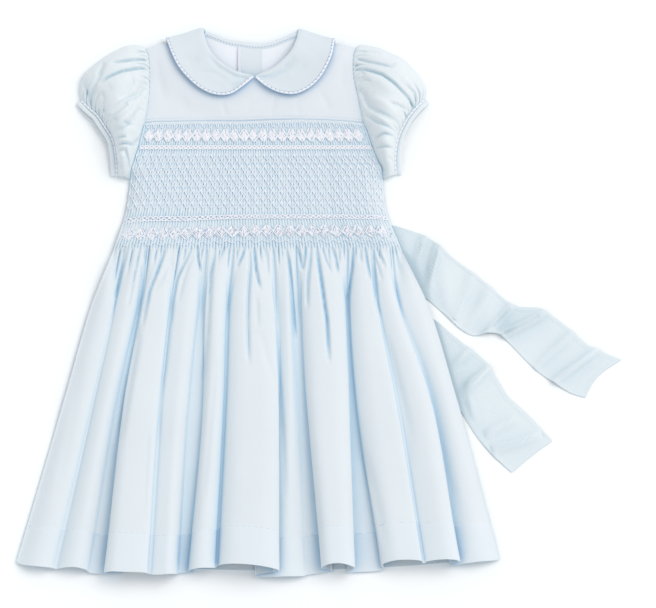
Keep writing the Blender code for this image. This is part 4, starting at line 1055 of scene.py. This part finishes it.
left_shoulder, right_shoulder = [smooth_path(SHOULDER[side], even(24)) for side in ("left", "right")]
neck_left, neck_right = [moved(smooth_path(COLLAR[side]["fold"], even(6)), away)
                         for side, away in (("left", NECK_HIDDEN), ("right", -NECK_HIDDEN))]
yoke_top = np.vstack([left_shoulder[:-1], finer(neck_left[::-1], steps=8)[4:],
                      finer(neck_right, steps=8)[:-4], right_shoulder[::-1][1:]])
yoke_across = (yoke_top[:, 0] - yoke_top[0, 0]) / (yoke_top[-1, 0] - yoke_top[0, 0])
foot_x = YOKE_SEAM[0, 0] + (YOKE_SEAM[-1, 0] - YOKE_SEAM[0, 0]) * yoke_across
yoke_bottom = np.column_stack([foot_x, seam_at(foot_x)])
yoke_down = np.concatenate([np.linspace(0, 0.93, 36), (0.945, 0.955, 0.965, 0.975, 0.985, 1.0)])
yoke_arms = [smooth_path(ARMHOLE[side][:6], yoke_down) for side in ("left", "right")]
yoke_plan = fill(yoke_top, yoke_bottom, *yoke_arms, yoke_across, yoke_down)
yoke = raised(yoke_plan, front_height(yoke_plan[..., 0], yoke_plan[..., 1]))
to_seam = seam_at(yoke[..., 0]) - yoke[..., 1]
yoke[..., 2] -= troughs(yoke, YOKE_CREASES)
yoke[..., 2] -= TOPSTITCH_SUNK * np.exp(-((to_seam - TOPSTITCH_UP) / TOPSTITCH_WIDE) ** 2)
yoke[..., 2] -= SEAM_SUNK * fade(to_seam, 0.2, 1.6)
# Its deep painted shade darkens the yoke beside the collar's raised edge: a painted shadow of the
# collar.
front_yoke_cotton = woven("blue cotton of the front yoke", (0.745, 0.768, 0.797),
                          (0.73, 0.755, 0.786), painted_shade_colour=(0.36, 0.54, 0.74))
front_yoke = sheet_of_cloth("yoke_front", "front_yoke", yoke, front_yoke_cotton, half=FRONT_YOKE_HALF)

topstitches = []
for x in np.arange(YOKE_SEAM[0, 0] + TOPSTITCH_STEP, YOKE_SEAM[-1, 0] - TOPSTITCH_STEP,
                   TOPSTITCH_STEP):
    ends = [(end_x, seam_at(end_x) - TOPSTITCH_UP) for end_x in (x, x + TOPSTITCH_LONG)]
    topstitches.append([(*end, front_height(*end) + FRONT_YOKE_HALF - 0.28) for end in ends])
stitches("yoke_topstitching", topstitches, radius=0.16, thread=soft_blue_thread)


# ---- collar ------------------------------------------------------------------------------------
# Round collar in two halves of doubled cotton. Each rolls over at the neck seam, lies on the front
# yoke and wraps over the shoulder to the back, with a white piping round its outer edge.

COLLAR_ACROSS_HEIGHTS = (-0.9, 0.9, 3.0, 3.0, 3.6, 5.2)     # above the front, from seam to outer edge
COLLAR_UNDER_HEIGHTS = (2.4, 1.5, 0.6, 0.6, 0.6, 0.6)       # above the surface, under the back yokes
PIPING, CORD_SIDES = 1.15, 10
PIPING_AWAY = 1.3                   # from the collar's edge to the middle of its cord
CORD_OFF_FLOOR = 0.05
ROOM_FOR_PIPING = 1.7               # the cloth stops short of the collar's line by this much
SEAM_TURNED_IN, ROLL_WIDTH, FULL_ROLL = 1.9, 2.8, 12.0      # a whole roll where the collar is so wide
ABOVE_YOKE = 8.0                    # height that tells the front of a half from its back
WHIP_STEP, WHIP_OVER = 4.6, 0.06    # from one stitch to the next, and how far they lie off the cord
COLLAR_CREASES = {
    "left": (
        (((-44, 12), (-34, 24), (-18, 33.5), (-5, 36)), 2.4, 2.4),
        (((-5, 36), (-13, 41), (-23, 46)), 2.2, 1.6),
        (((-54, 30), (-40, 30), (-24, 38)), 3.0, 1.2),
        (((-66, 22), (-54, 16)), 3.4, 1.2),
    ),
    "right": (
        (((6, 36), (18, 34.5), (32, 27), (42, 14)), 2.5, 2.4),
        (((31, 25), (46, 17)), 2.0, 1.2),
        (((40, 32), (54, 22)), 3.0, 1.0),
    ),
}

# The collar's cotton carries the common painted shade; the piping's painted shade is near white.
collar_cotton = woven("blue cotton of the collar", (0.692, 0.733, 0.762), (0.677, 0.72, 0.75))
piping_cotton = woven("white piping cotton", (0.87, 0.865, 0.89), (0.85, 0.85, 0.88),
                      threads=26000.0, painted_shade_colour=(0.84, 0.84, 0.88))


def collar_section(fold, edge, front):
    """One line across a collar half, from its seam over the roll to its outer edge."""
    width = np.linalg.norm(edge - fold)
    outward = (edge - fold) / width
    small = min(1.0, width / FULL_ROLL)
    width -= ROOM_FOR_PIPING * small
    offsets = (SEAM_TURNED_IN * small, 0.0, ROLL_WIDTH * small, 0.4 * width, 0.74 * width, width)
    section = []
    for offset, height, low in zip(offsets, COLLAR_ACROSS_HEIGHTS, COLLAR_UNDER_HEIGHTS):
        x, d = fold + outward * offset
        section.append((x, d, front_height(x, d) + height * (0.5 + 0.5 * small) if front else low))
    return np.array(section, float)


def collar_grid(side):
    """Surface of one collar half: sections over the front, round the shoulder, under the back."""
    front, under = [], []
    for sections, part, cells in ((front, "", 8), (under, "back ", 4)):
        folds, edges = [smooth_path(COLLAR[side][part + line], even(cells))
                        for line in ("fold", "edge")]
        sections += [collar_section(fold, edge, not part) for fold, edge in zip(folds, edges)]
    shoulder = edges[0] - folds[0]
    away = np.array([abs(shoulder[1]) * (-1 if side == "left" else 1), -abs(shoulder[0]), 0.0])
    away /= np.linalg.norm(away)
    middle = (front[-1] + under[0]) / 2
    radius = np.abs(front[-1][:, 2] - under[0][:, 2]) / 2
    over_shoulder = [middle + (front[-1] - middle) * math.sin(turn)
                     + np.outer(radius * math.cos(turn), away)
                     for turn in map(math.radians, (45, 0, -45))]
    return np.array(front + over_shoulder + under)


def square_to(aside, along):
    """Unit directions across a path, as near as they can be to the given ones."""
    return unit(aside - along * np.sum(aside * along, axis=1)[:, None])


def cord(name, solid, path, outward, radius, closed=False):
    """A round cord of piping along a path; outward gives a direction across it at every point."""
    along = np.gradient(path, axis=0)
    if closed:
        along = np.roll(path, -1, axis=0) - np.roll(path, 1, axis=0)
    along = unit(along)
    outward = square_to(outward, along)
    other = np.cross(along, outward)
    turns = 2 * math.pi * (np.arange(CORD_SIDES) + 0.5) / CORD_SIDES
    rings = path[:, None] + radius * (np.cos(turns)[None, :, None] * outward[:, None]
                                      + np.sin(turns)[None, :, None] * other[:, None])
    numbers = np.arange(len(path) * CORD_SIDES).reshape(-1, CORD_SIDES)
    ends = numbers[[0, -1]].tolist()
    numbers = np.column_stack([numbers, numbers[:, :1]])
    faces = quads(np.vstack([numbers, numbers[:1]])) if closed else quads(numbers) + ends
    return sew_in(new_piece(name, rings, faces, piping_cotton), "white_piping", solid)


def whip_stitches(name, path, outward, radius, closed=False, thick=0.56):
    """Small blue stitches over a cord, at even steps."""
    if closed:
        path, outward = np.vstack([path, path[:1]]), np.vstack([outward, outward[:1]])
    run = run_along(path)
    where = np.arange(1.0, run[-1] - 1.0, WHIP_STEP)
    middles = places(path, run, where)
    along = unit(places(path, run, where + 0.2) - middles)
    aside = square_to(places(outward, run, where), along)
    up = np.cross(along, aside)
    up *= np.sign(up[:, 2])[:, None]
    reach = radius + WHIP_OVER
    starts = middles - aside * reach * 0.85 + up * reach * 0.56 - along * 0.5
    ends = middles + aside * reach * 0.5 + up * reach * 0.87 + along * 0.5
    stitches(name, np.stack([starts, ends], axis=1), radius=thick, thread=blue_thread)


for side in ("left", "right"):
    coarse = collar_grid(side)
    across = np.swapaxes(finer(coarse, steps=6), 0, 1)
    grid = np.swapaxes(finer(across, steps=5), 0, 1).copy()
    grid[..., 2] -= np.where(grid[..., 2] > ABOVE_YOKE, troughs(grid, COLLAR_CREASES[side]), 0.0)
    half = sheet_of_cloth("collar_half_" + side, "collar_" + side, grid, collar_cotton, half=0.5)
    outer = coarse[:, -1]
    outward = square_to(outer - coarse[:, -2], unit(np.gradient(outer, axis=0)))
    path = finer(outer + outward * PIPING_AWAY, steps=8)
    path[:, 2] = np.maximum(path[:, 2], PIPING + CORD_OFF_FLOOR)
    outward = finer(outward, steps=8)
    cord("collar_edge_piping_" + side, "collar_piping_" + side, path, outward, PIPING)
    whip_stitches("collar_whipping_" + side, path, outward, PIPING)


# ---- neck stitches -----------------------------------------------------------------------------
# The inner neck binding is held by a dotted row of blue stitches. The raw edge of the strip beside
# the button stand is overlocked in white.

NECK_ROW, ON_BINDING = 4.6, 0.95    # how far down the binding the row lies, and above its cloth
OVERLOCK_IN, OVERLOCK_HALF, ON_STAND = 1.9, 1.8, 0.75   # from the stand's edge, across, above

row = moved(smooth_path(BACK_NECK, np.linspace(0.04, 0.96, 32)), -NECK_ROW)
dots = [[(*point, BINDING_HEIGHT + ON_BINDING) for point in (start, start + 0.4 * (end - start))]
        for start, end in zip(row, row[1:])]
stitches("neck_binding_stitches", dots, radius=0.4, thread=blue_thread)

strip_x = STAND_LEFT + OVERLOCK_IN
overlocking = []
for d in np.arange(3.4, 78.0, 1.0):
    height = back_height(strip_x, d) + STAND_ABOVE + ON_STAND
    overlocking.append([(strip_x - OVERLOCK_HALF, d, height),
                        (strip_x + OVERLOCK_HALF, d + 0.35, height)])
stitches("stand_overlocking", overlocking, radius=0.56, thread=white_thread)


# ---- sleeves -----------------------------------------------------------------------------------
# Short puff sleeves of blue cotton, gathered into the armhole and again into a narrow bias cuff with
# a white piping. They lie on their back halves with the front halves puffed up.

SLEEVE = {
    "left": {
        "upper": ((-107.4, 2.4), (-113, -0.9), (-125, -0.5), (-134, 3.7), (-144, 9.5), (-153, 16),
                  (-163, 24), (-168.5, 29.5), (-171.4, 37), (-172.6, 46), (-171.5, 55)),
        "lower": ((-122, 137), (-128, 136), (-135, 134)),
        "cuff": ((-171.5, 55), (-163, 64.5), (-155, 72), (-148.5, 82), (-142, 92), (-138.5, 100),
                 (-136.5, 110), (-135.5, 120), (-135, 134)),
    },
    "right": {
        "upper": ((103.4, 2.4), (108, -1.5), (116, -0.5), (128, 2.6), (139, 7.8), (151, 14),
                  (160, 22.8), (168, 31.6), (173, 40), (174.4, 46), (173, 54.2)),
        "lower": ((131, 137), (136.8, 136.1), (143.4, 132.4)),
        "cuff": ((173, 54.2), (164, 63.5), (156, 73.8), (151, 83), (147, 92), (144.6, 100.7),
                 (143, 111), (142.7, 121.5), (143.4, 132.4)),
    },
}
ARM_SEAM = 0.3                      # the cap starts just beyond the armhole line, under its edge
OUTWARD = {"left": -1.0, "right": 1.0}      # which way a cuff line is moved to lie farther out
CUFF_PIPING, CUFF_PIPING_AT, CUFF_WIDTH = 1.05, 0.7, 3.8
CUFF_BAND_FROM = 0.9                # from the cord to the band, which is tucked under it
CUFF_LOW, CUFF_RISE, PUFF = 2.2, 4.6, 19.5
SIDE_PUFF = 5.0                     # the sleeve's folded sides stand off the surface
BACK_LOW = 0.55                     # middle of the sleeve's back half above what it lies on
GATHERED_IN, CREASED_IN = 1.6, 1.5
CUFF_PIPING_UP = 1.5                # the cord stands above the cloth on both sides of it
# Across the cuff band: share of its width, and how far it swells
CUFF_FORM = ((0.0, -0.3), (0.15, 0.25), (0.4, 0.5), (0.7, 0.45), (0.9, 0.1), (1.0, -0.4))
SLEEVE_CREASES = {
    "left": (
        (((-103, 7), (-113, 7.5), (-121, 9)), 1.4, 1.6),
        (((-103, 15), (-119, 17.8), (-131, 19.9), (-141, 21)), 1.6, 2.3),
        (((-103, 24), (-117, 27), (-131, 31), (-145, 37.4), (-153, 43)), 1.8, 3.0),
        (((-103, 29), (-110, 28.5)), 1.2, 1.2),
        (((-103, 34), (-109, 34.5)), 1.2, 1.0),
        (((-103, 37), (-110, 44), (-115, 54), (-127, 61.5), (-143, 74.5)), 3.0, 2.8),
        (((-121, 32), (-120, 44), (-126, 54), (-134, 60)), 2.2, 1.5),
        (((-149, 20), (-153, 34), (-158, 46), (-161, 54), (-161, 64)), 2.6, 3.2),
        (((-170, 37), (-165, 47), (-163, 58)), 2.0, 2.2),
        (((-156, 55), (-150, 53), (-148, 60), (-150, 66)), 1.8, 1.5),
        (((-149, 66), (-145, 76)), 1.4, 1.9),
        (((-154, 67), (-149.5, 74)), 1.3, 1.2),
        (((-148, 77), (-140, 77), (-125, 65.5)), 2.2, 2.2),
        (((-147, 80), (-137, 80), (-135, 84)), 1.6, 1.9),
        (((-142, 86), (-135, 86), (-120, 74), (-112, 57)), 3.2, -2.0),
        (((-140, 92), (-131, 91), (-120, 82), (-113, 68)), 2.0, 1.8),
        (((-139, 99), (-126, 99.6)), 1.5, 2.2),
        (((-137, 106), (-120, 106), (-113, 98)), 1.7, 3.0),
        (((-136, 112), (-127, 112), (-124.5, 121), (-124, 131)), 1.8, 2.8),
        (((-135, 119), (-131, 126.5), (-130, 134)), 1.5, 2.4),
        (((-134, 115), (-129, 120)), 1.6, -1.4),
        (((-130, 85), (-118, 86)), 1.6, 1.4),
        (((-112, 12), (-132, 13), (-148, 22)), 4.0, -1.0),
        (((-110, 34), (-126, 40), (-142, 48)), 5.0, -1.2),
        (((-155, 32), (-156, 48)), 3.2, -1.2),
        (((-168, 50), (-166, 58)), 2.6, -1.0),
        (((-130, 92), (-116, 92)), 3.6, -0.9),
    ),
    "right": (
        (((100.5, 26), (113, 27.5), (130.5, 34.7), (142, 43.7), (153, 54), (163, 64)), 1.8, 3.0),
        (((103, 13.6), (113, 18.8), (123, 21.7), (138, 26), (144, 21.7)), 1.7, 2.0),
        (((103, 8), (119, 7.4), (129, 11.4)), 1.6, 1.1),
        (((100.5, 21.5), (107, 22.3)), 1.2, 1.4),
        (((103, 30.7), (109, 29.2), (113, 33.3)), 1.4, 1.0),
        (((103, 38.5), (112, 38.5), (119, 41)), 1.5, 1.3),
        (((104, 44.7), (112, 52.8), (117, 65.4), (124.5, 72), (138, 80), (149.5, 84)), 2.5, 2.6),
        (((113, 73.5), (125.5, 83.8), (138, 90.3), (146, 94.4)), 1.8, 2.2),
        (((138, 64.4), (145.5, 65.4), (156, 68.5)), 1.6, 1.8),
        (((149, 70.6), (156, 75)), 1.4, 1.3),
        (((157, 59.5), (163, 65.5)), 1.3, 1.7),
        (((154, 44.7), (162, 50), (164.5, 60)), 1.8, 1.8),
        (((122, 99.5), (132, 96), (143, 98)), 1.6, 2.5),
        (((125, 108.4), (142, 110)), 1.5, 2.3),
        (((140, 86), (147, 91)), 1.3, 1.5),
        (((136, 120), (142.5, 121.5)), 1.4, 1.6),
        (((121, 112), (126, 122), (132, 131)), 2.0, 2.2),
        (((120, 58), (133, 66), (146, 76)), 3.4, -1.2),
        (((112, 12), (130, 15), (146, 22)), 4.0, -1.0),
        (((112, 34), (128, 42), (142, 54)), 5.0, -1.3),
        (((150, 36), (160, 44)), 3.4, -1.0),
        (((122, 76), (136, 86)), 2.8, -0.9),
        (((124, 104), (140, 104)), 3.0, -0.8),
    ),
}
# Short gathers from the armhole and from the cuff: share round the front, reach, depth
CAP_GATHERS = (
    (0.03, 0.20, 0.9), (0.06, 0.30, 1.2), (0.095, 0.26, 1.2), (0.13, 0.20, 1.1), (0.165, 0.34, 1.4),
    (0.20, 0.16, 1.1), (0.23, 0.18, 1.1), (0.265, 0.24, 1.2), (0.305, 0.16, 0.9), (0.35, 0.20, 0.9),
    (0.42, 0.16, 0.8), (0.51, 0.20, 0.8), (0.63, 0.15, 0.6), (0.76, 0.15, 0.6),
)
CUFF_GATHERS = (
    (0.05, 0.22, 1.2), (0.10, 0.38, 1.8), (0.17, 0.25, 1.4), (0.235, 0.32, 1.5), (0.30, 0.20, 1.2),
    (0.37, 0.30, 1.5), (0.45, 0.22, 1.3), (0.52, 0.34, 1.6), (0.60, 0.22, 1.2), (0.67, 0.30, 1.5),
    (0.75, 0.20, 1.2), (0.82, 0.30, 1.4), (0.90, 0.22, 1.1), (0.96, 0.20, 0.8),
)
AROUND_FRONT, AROUND_BACK = even(156), np.linspace(0.98, 0.02, 39)
ALONG_SLEEVE = even(60)

# A greener tone than the skirt's cotton, made lighter by painted light against the shade of the
# puffs, with a paler painted shade in its creases.
sleeve_cotton = woven("blue cotton of the sleeves", (0.752, 0.788, 0.803), (0.735, 0.772, 0.79),
                      painted_shade_colour=(0.585, 0.70, 0.76))


def hump(share):
    """Rounded profile across a flattened tube, 0 at its two folded sides."""
    return (1.0 - np.abs(2.0 * share - 1.0) ** 3.0) ** 0.8


def cuff_ring(side, distance):
    """Closed ring of the flattened cuff, a distance beyond the cuff seam."""
    front, back = [moved(smooth_path(SLEEVE[side]["cuff"], around), OUTWARD[side] * distance)
                   for around in (AROUND_FRONT, AROUND_BACK[::-1])]
    front = np.column_stack([front, CUFF_LOW + CUFF_RISE * hump(AROUND_FRONT)])
    back = np.column_stack([back[::-1], np.full(len(back), CUFF_PIPING + CORD_OFF_FLOOR)])
    return np.vstack([front, back])


for side in ("left", "right"):
    arm = smooth_path(ARMHOLE[side], AROUND_FRONT)
    arm_seam = moved(arm, OUTWARD[side] * ARM_SEAM)
    cuff = smooth_path(SLEEVE[side]["cuff"], AROUND_FRONT)
    upper = smooth_path((tuple(arm_seam[0]),) + SLEEVE[side]["upper"][1:], ALONG_SLEEVE)
    lower = smooth_path((tuple(arm_seam[-1]),) + SLEEVE[side]["lower"][1:], ALONG_SLEEVE)
    plan = fill(upper, lower, arm_seam, cuff, ALONG_SLEEVE, AROUND_FRONT)
    around, along = np.meshgrid(AROUND_FRONT, ALONG_SLEEVE, indexing="ij")
    bow = np.maximum(np.sin(math.pi * along), 0.0)
    puff = PUFF * bow ** (0.8 + 0.45 * along)
    edge = SIDE_PUFF * bow
    seam_height = (front_height(arm[:, 0], arm[:, 1])[:, None] * (1.0 - along)
                   + (CUFF_LOW + CUFF_RISE * hump(around)) * along)
    height = seam_height + edge + (puff - edge) * hump(around)
    inside = (np.minimum(1.0, 14.0 * np.minimum(around, 1.0 - around))
              * np.minimum(1.0, 0.3 + 10 * (1 - along)) * np.minimum(1.0, 0.4 + 10 * along))
    drawn = np.zeros(plan.shape[:2])
    for gathers, from_seam, narrow in ((CAP_GATHERS, along, 0.014),
                                       (CUFF_GATHERS, 1.0 - along, 0.022)):
        for start, reach, depth in gathers:
            near = 1.0 - np.minimum(np.abs(around - start) / (narrow + 0.03 * from_seam), 1.0)
            drawn += GATHERED_IN * depth * fade(from_seam, 0.3 * reach, reach) * near ** 2
    height -= inside * (drawn + CREASED_IN * troughs(plan, SLEEVE_CREASES[side]))
    height -= 0.1 * fade(along, 0.0, 0.04)
    back_plan = np.stack([places(line, AROUND_FRONT, AROUND_BACK)
                          for line in np.swapaxes(plan, 0, 1)], axis=1)
    under_back = lift(back_plan[..., 0], back_plan[..., 1]) * fade(ALONG_SLEEVE, 0.0, 0.25)[None, :]
    tube = np.concatenate([raised(plan, height), raised(back_plan, BACK_LOW + under_back)])
    cloth = sheet_of_cloth("puff_sleeve_" + side, "sleeve_" + side, np.swapaxes(tube, 0, 1),
                           sleeve_cotton, around=True)

    ring = cuff_ring(side, CUFF_PIPING_AT)
    direction = ring - cuff_ring(side, 0.0)
    ring[:len(AROUND_FRONT), 2] += CUFF_PIPING_UP * hump(AROUND_FRONT)
    cord("cuff_edge_piping_" + side, "cuff_piping_" + side, ring, direction, CUFF_PIPING,
         closed=True)
    whip_stitches("cuff_whipping_" + side, ring, -direction, CUFF_PIPING, closed=True, thick=0.36)
    band = []
    for share, swell in CUFF_FORM:
        loop = cuff_ring(side, CUFF_PIPING_AT + CUFF_BAND_FROM + (CUFF_WIDTH + 0.8) * share)
        loop[:len(AROUND_FRONT), 2] += swell
        loop[len(AROUND_FRONT):, 2] = BACK_LOW
        band.append(loop)
    # The band is in the sleeves' cotton: the same greener tone, with its painted light against the
    # shade at the cuff.
    binding = sheet_of_cloth("cuff_band_" + side, "cuff_binding_" + side, np.array(band),
                             sleeve_cotton, around=True)


# ---- sash ties ---------------------------------------------------------------------------------
# Two long ties of single cotton, narrowly hemmed, sewn into the side seams. Both lie out to one
# side: the left one passes under the back. They ripple a little above the surface.

# Soft waves above the surface: share of the tie's length, height, half width of the wave
SASH_WAVES = {
    "right": ((0.20, 1.4, 0.07), (0.42, 1.4, 0.05), (0.84, 1.6, 0.07)),
    "left": ((0.81, 2.0, 0.035), (0.93, 1.4, 0.04)),
}
# Soft ridges across them: path of (x, d), half width, depth (a ridge where it is negative)
SASH_CREASES = {
    "right": (
        (((174, 192), (166, 214), (158, 240)), 3.6, -2.6),
        (((188, 200), (180, 230), (173, 262)), 4.0, -4.0),
        (((222, 232), (213, 256), (202, 282)), 4.6, -1.8),
        (((240, 246), (228, 270), (214, 294)), 4.6, -1.8),
        (((263, 266), (244, 288), (226, 306)), 4.4, -3.6),
        (((297, 273), (272, 288), (244, 301)), 4.6, -4.8),
        (((326, 292), (304, 313), (282, 333)), 4.6, -2.6),
        (((348, 312), (324, 331), (298, 350)), 4.6, -4.0),
    ),
    "left": (
        (((222, 312), (206, 325), (190, 339)), 4.4, -3.0),
        (((240, 330), (224, 345), (206, 360)), 4.6, -4.6),
        (((215, 360), (219, 372), (222, 385)), 2.2, -2.4),
        (((266, 384), (250, 392), (232, 402)), 4.6, -2.4),
        (((290, 401), (266, 410), (240, 417)), 4.6, -3.6),
    ),
}
SASH_HEM = 3.6                      # width of the narrow hem
SASH_END_IN = {"right": 6.0, "left": 1.0}       # each end is drawn in between its corners
SASH_ROWS = {"right": 110, "left": 160}
SASH_LOW, LAID_DOWN = 0.57, 0.2     # height of the tie under the dress, and how much less beyond it
SASH_FREE = (2.0, 22.0)             # how far from the dress's side the tie comes free of it

# Its painted shade reaches far and starts at shallow hollows, so the soft bands between the ridges
# are painted darker.
tie_cotton = woven("blue cotton of the sash", (0.751, 0.801, 0.823), (0.736, 0.787, 0.81),
                   painted_shade_colour=(0.50, 0.61, 0.67), reach=0.03, painted_shade_from=0.985, painted_shade_to=0.875)
TIE_ACROSS = np.sort(np.append(even(16), (0.03, 0.055, 0.075, 0.095, 0.905, 0.925, 0.945, 0.97)))

for side, rows in SASH_ROWS.items():
    shares = even(rows)
    upper, lower = [smooth_path(SASH[side][edge], shares) for edge in ("upper", "lower")]
    plan = upper[:, None] + (lower - upper)[:, None] * TIE_ACROSS[None, :, None]
    end_way = upper[-1] - upper[-8] + lower[-1] - lower[-8]
    end_way /= np.linalg.norm(end_way)
    middle_most = np.sin(math.pi * TIE_ACROSS)[None, :]
    drawn_in = SASH_END_IN[side] * (1.0 - fade(shares, 0.8, 1.0))[:, None] * middle_most
    plan -= drawn_in[..., None] * end_way
    wave = sum(height * np.exp(-((shares - place) / width) ** 2)
               for place, height, width in SASH_WAVES[side])
    beyond_dress = 1.0 - fade(plan[..., 0] - side_edge("right", plan[..., 1]), *SASH_FREE)
    height = (SASH_LOW - LAID_DOWN * beyond_dress
              + wave[:, None] * (0.55 + 0.45 * middle_most) * beyond_dress)
    height -= beyond_dress * troughs(plan, SASH_CREASES[side])
    width = np.linalg.norm(lower - upper, axis=1)[:, None]
    to_edge = np.minimum(TIE_ACROSS, 1 - TIE_ACROSS)[None, :] * width
    to_end = (1.0 - shares)[:, None] * np.linalg.norm(np.diff(upper, axis=0), axis=1).sum()
    hem_line = np.exp(-((to_edge - SASH_HEM) / 0.8) ** 2) + np.exp(-((to_end - SASH_HEM) / 1.4) ** 2)
    hem = 0.3 * fade(np.minimum(to_edge, to_end), SASH_HEM, SASH_HEM + 1.0) - 0.1 * hem_line
    tie = raised(plan, height + beyond_dress * hem)
    cloth = sheet_of_cloth("sash_tie_" + side, "sash_" + side, tie, tie_cotton, half=0.28)


# ---- hem stitches ------------------------------------------------------------------------------
# The skirt's deep hem is turned up inside and held by a row of small stitches in the cotton's blue.

held_hem = []
for column in range(2, COLUMNS - 4, 3):
    start, end = front_face[hem_row, [column, column + 2]] + (0.0, 0.0, 0.1)
    held_hem.append((start, start + 0.8 * (end - start)))
stitches("hem_stitches", held_hem, radius=0.13, thread=soft_blue_thread)


# ---- floor, light and camera -------------------------------------------------------------------
# A pale studio table seen from above and a little from the hem, under a broad soft light.

FLOOR_HALF, FLOOR_BELOW = 6.0, 0.0001       # in metres
LOOK_X, LOOK_D = 76.0, 266.6
CAMERA_DISTANCE, CAMERA_ELEVATION, SHOWN_WIDTH, SENSOR_WIDTH = 20.0, 75.0, 0.656, 36.0

floor_corners = [(x * FLOOR_HALF, y * FLOOR_HALF, -FLOOR_BELOW)
                 for x, y in ((-1, -1), (1, -1), (1, 1), (-1, 1))]
floor_mesh = bpy.data.meshes.new("table_top")
floor_mesh.from_pydata(floor_corners, [], [(0, 1, 2, 3)])
floor = put_in("table_top", floor_mesh)
floor_paint, floor_tree, floor_shader = new_finish("white table")
wire(floor_tree, floor_shader, {"Base Color": (0.95, 0.95, 0.95, 1.0), "Roughness": 0.9})
floor_mesh.materials.append(floor_paint)

world = bpy.data.worlds.new("studio")
world.use_nodes = True
wire(world.node_tree, world.node_tree.nodes["Background"],
     {"Color": (0.852, 0.906, 0.948, 1.0), "Strength": 0.915})
bpy.context.scene.world = world

key_lamp = bpy.data.lights.new("key_light", "SUN")
key_lamp.energy = 1.15
key_lamp.angle = math.radians(42.0)
key_lamp.color = (1.0, 0.955, 0.91)
key_light = put_in("key_light", key_lamp)
key_light.rotation_euler = Vector((-0.56, -0.3, -0.8)).to_track_quat("-Z", "Y").to_euler()

look_at = Vector(((LOOK_X - MIDDLE_X) / 1000, (MIDDLE_D - LOOK_D) / 1000, 0.002))
camera_data = bpy.data.cameras.new("camera")
camera_data.sensor_width = SENSOR_WIDTH
camera_data.lens = SENSOR_WIDTH * CAMERA_DISTANCE / SHOWN_WIDTH
camera = put_in("camera", camera_data)
tilt = math.radians(CAMERA_ELEVATION)
camera.location = look_at + Vector((0.0, -math.cos(tilt), math.sin(tilt))) * CAMERA_DISTANCE
camera.rotation_euler = (look_at - camera.location).to_track_quat("-Z", "Y").to_euler()
bpy.context.scene.camera = camera
bpy.context.scene.view_settings.view_transform = "Standard"
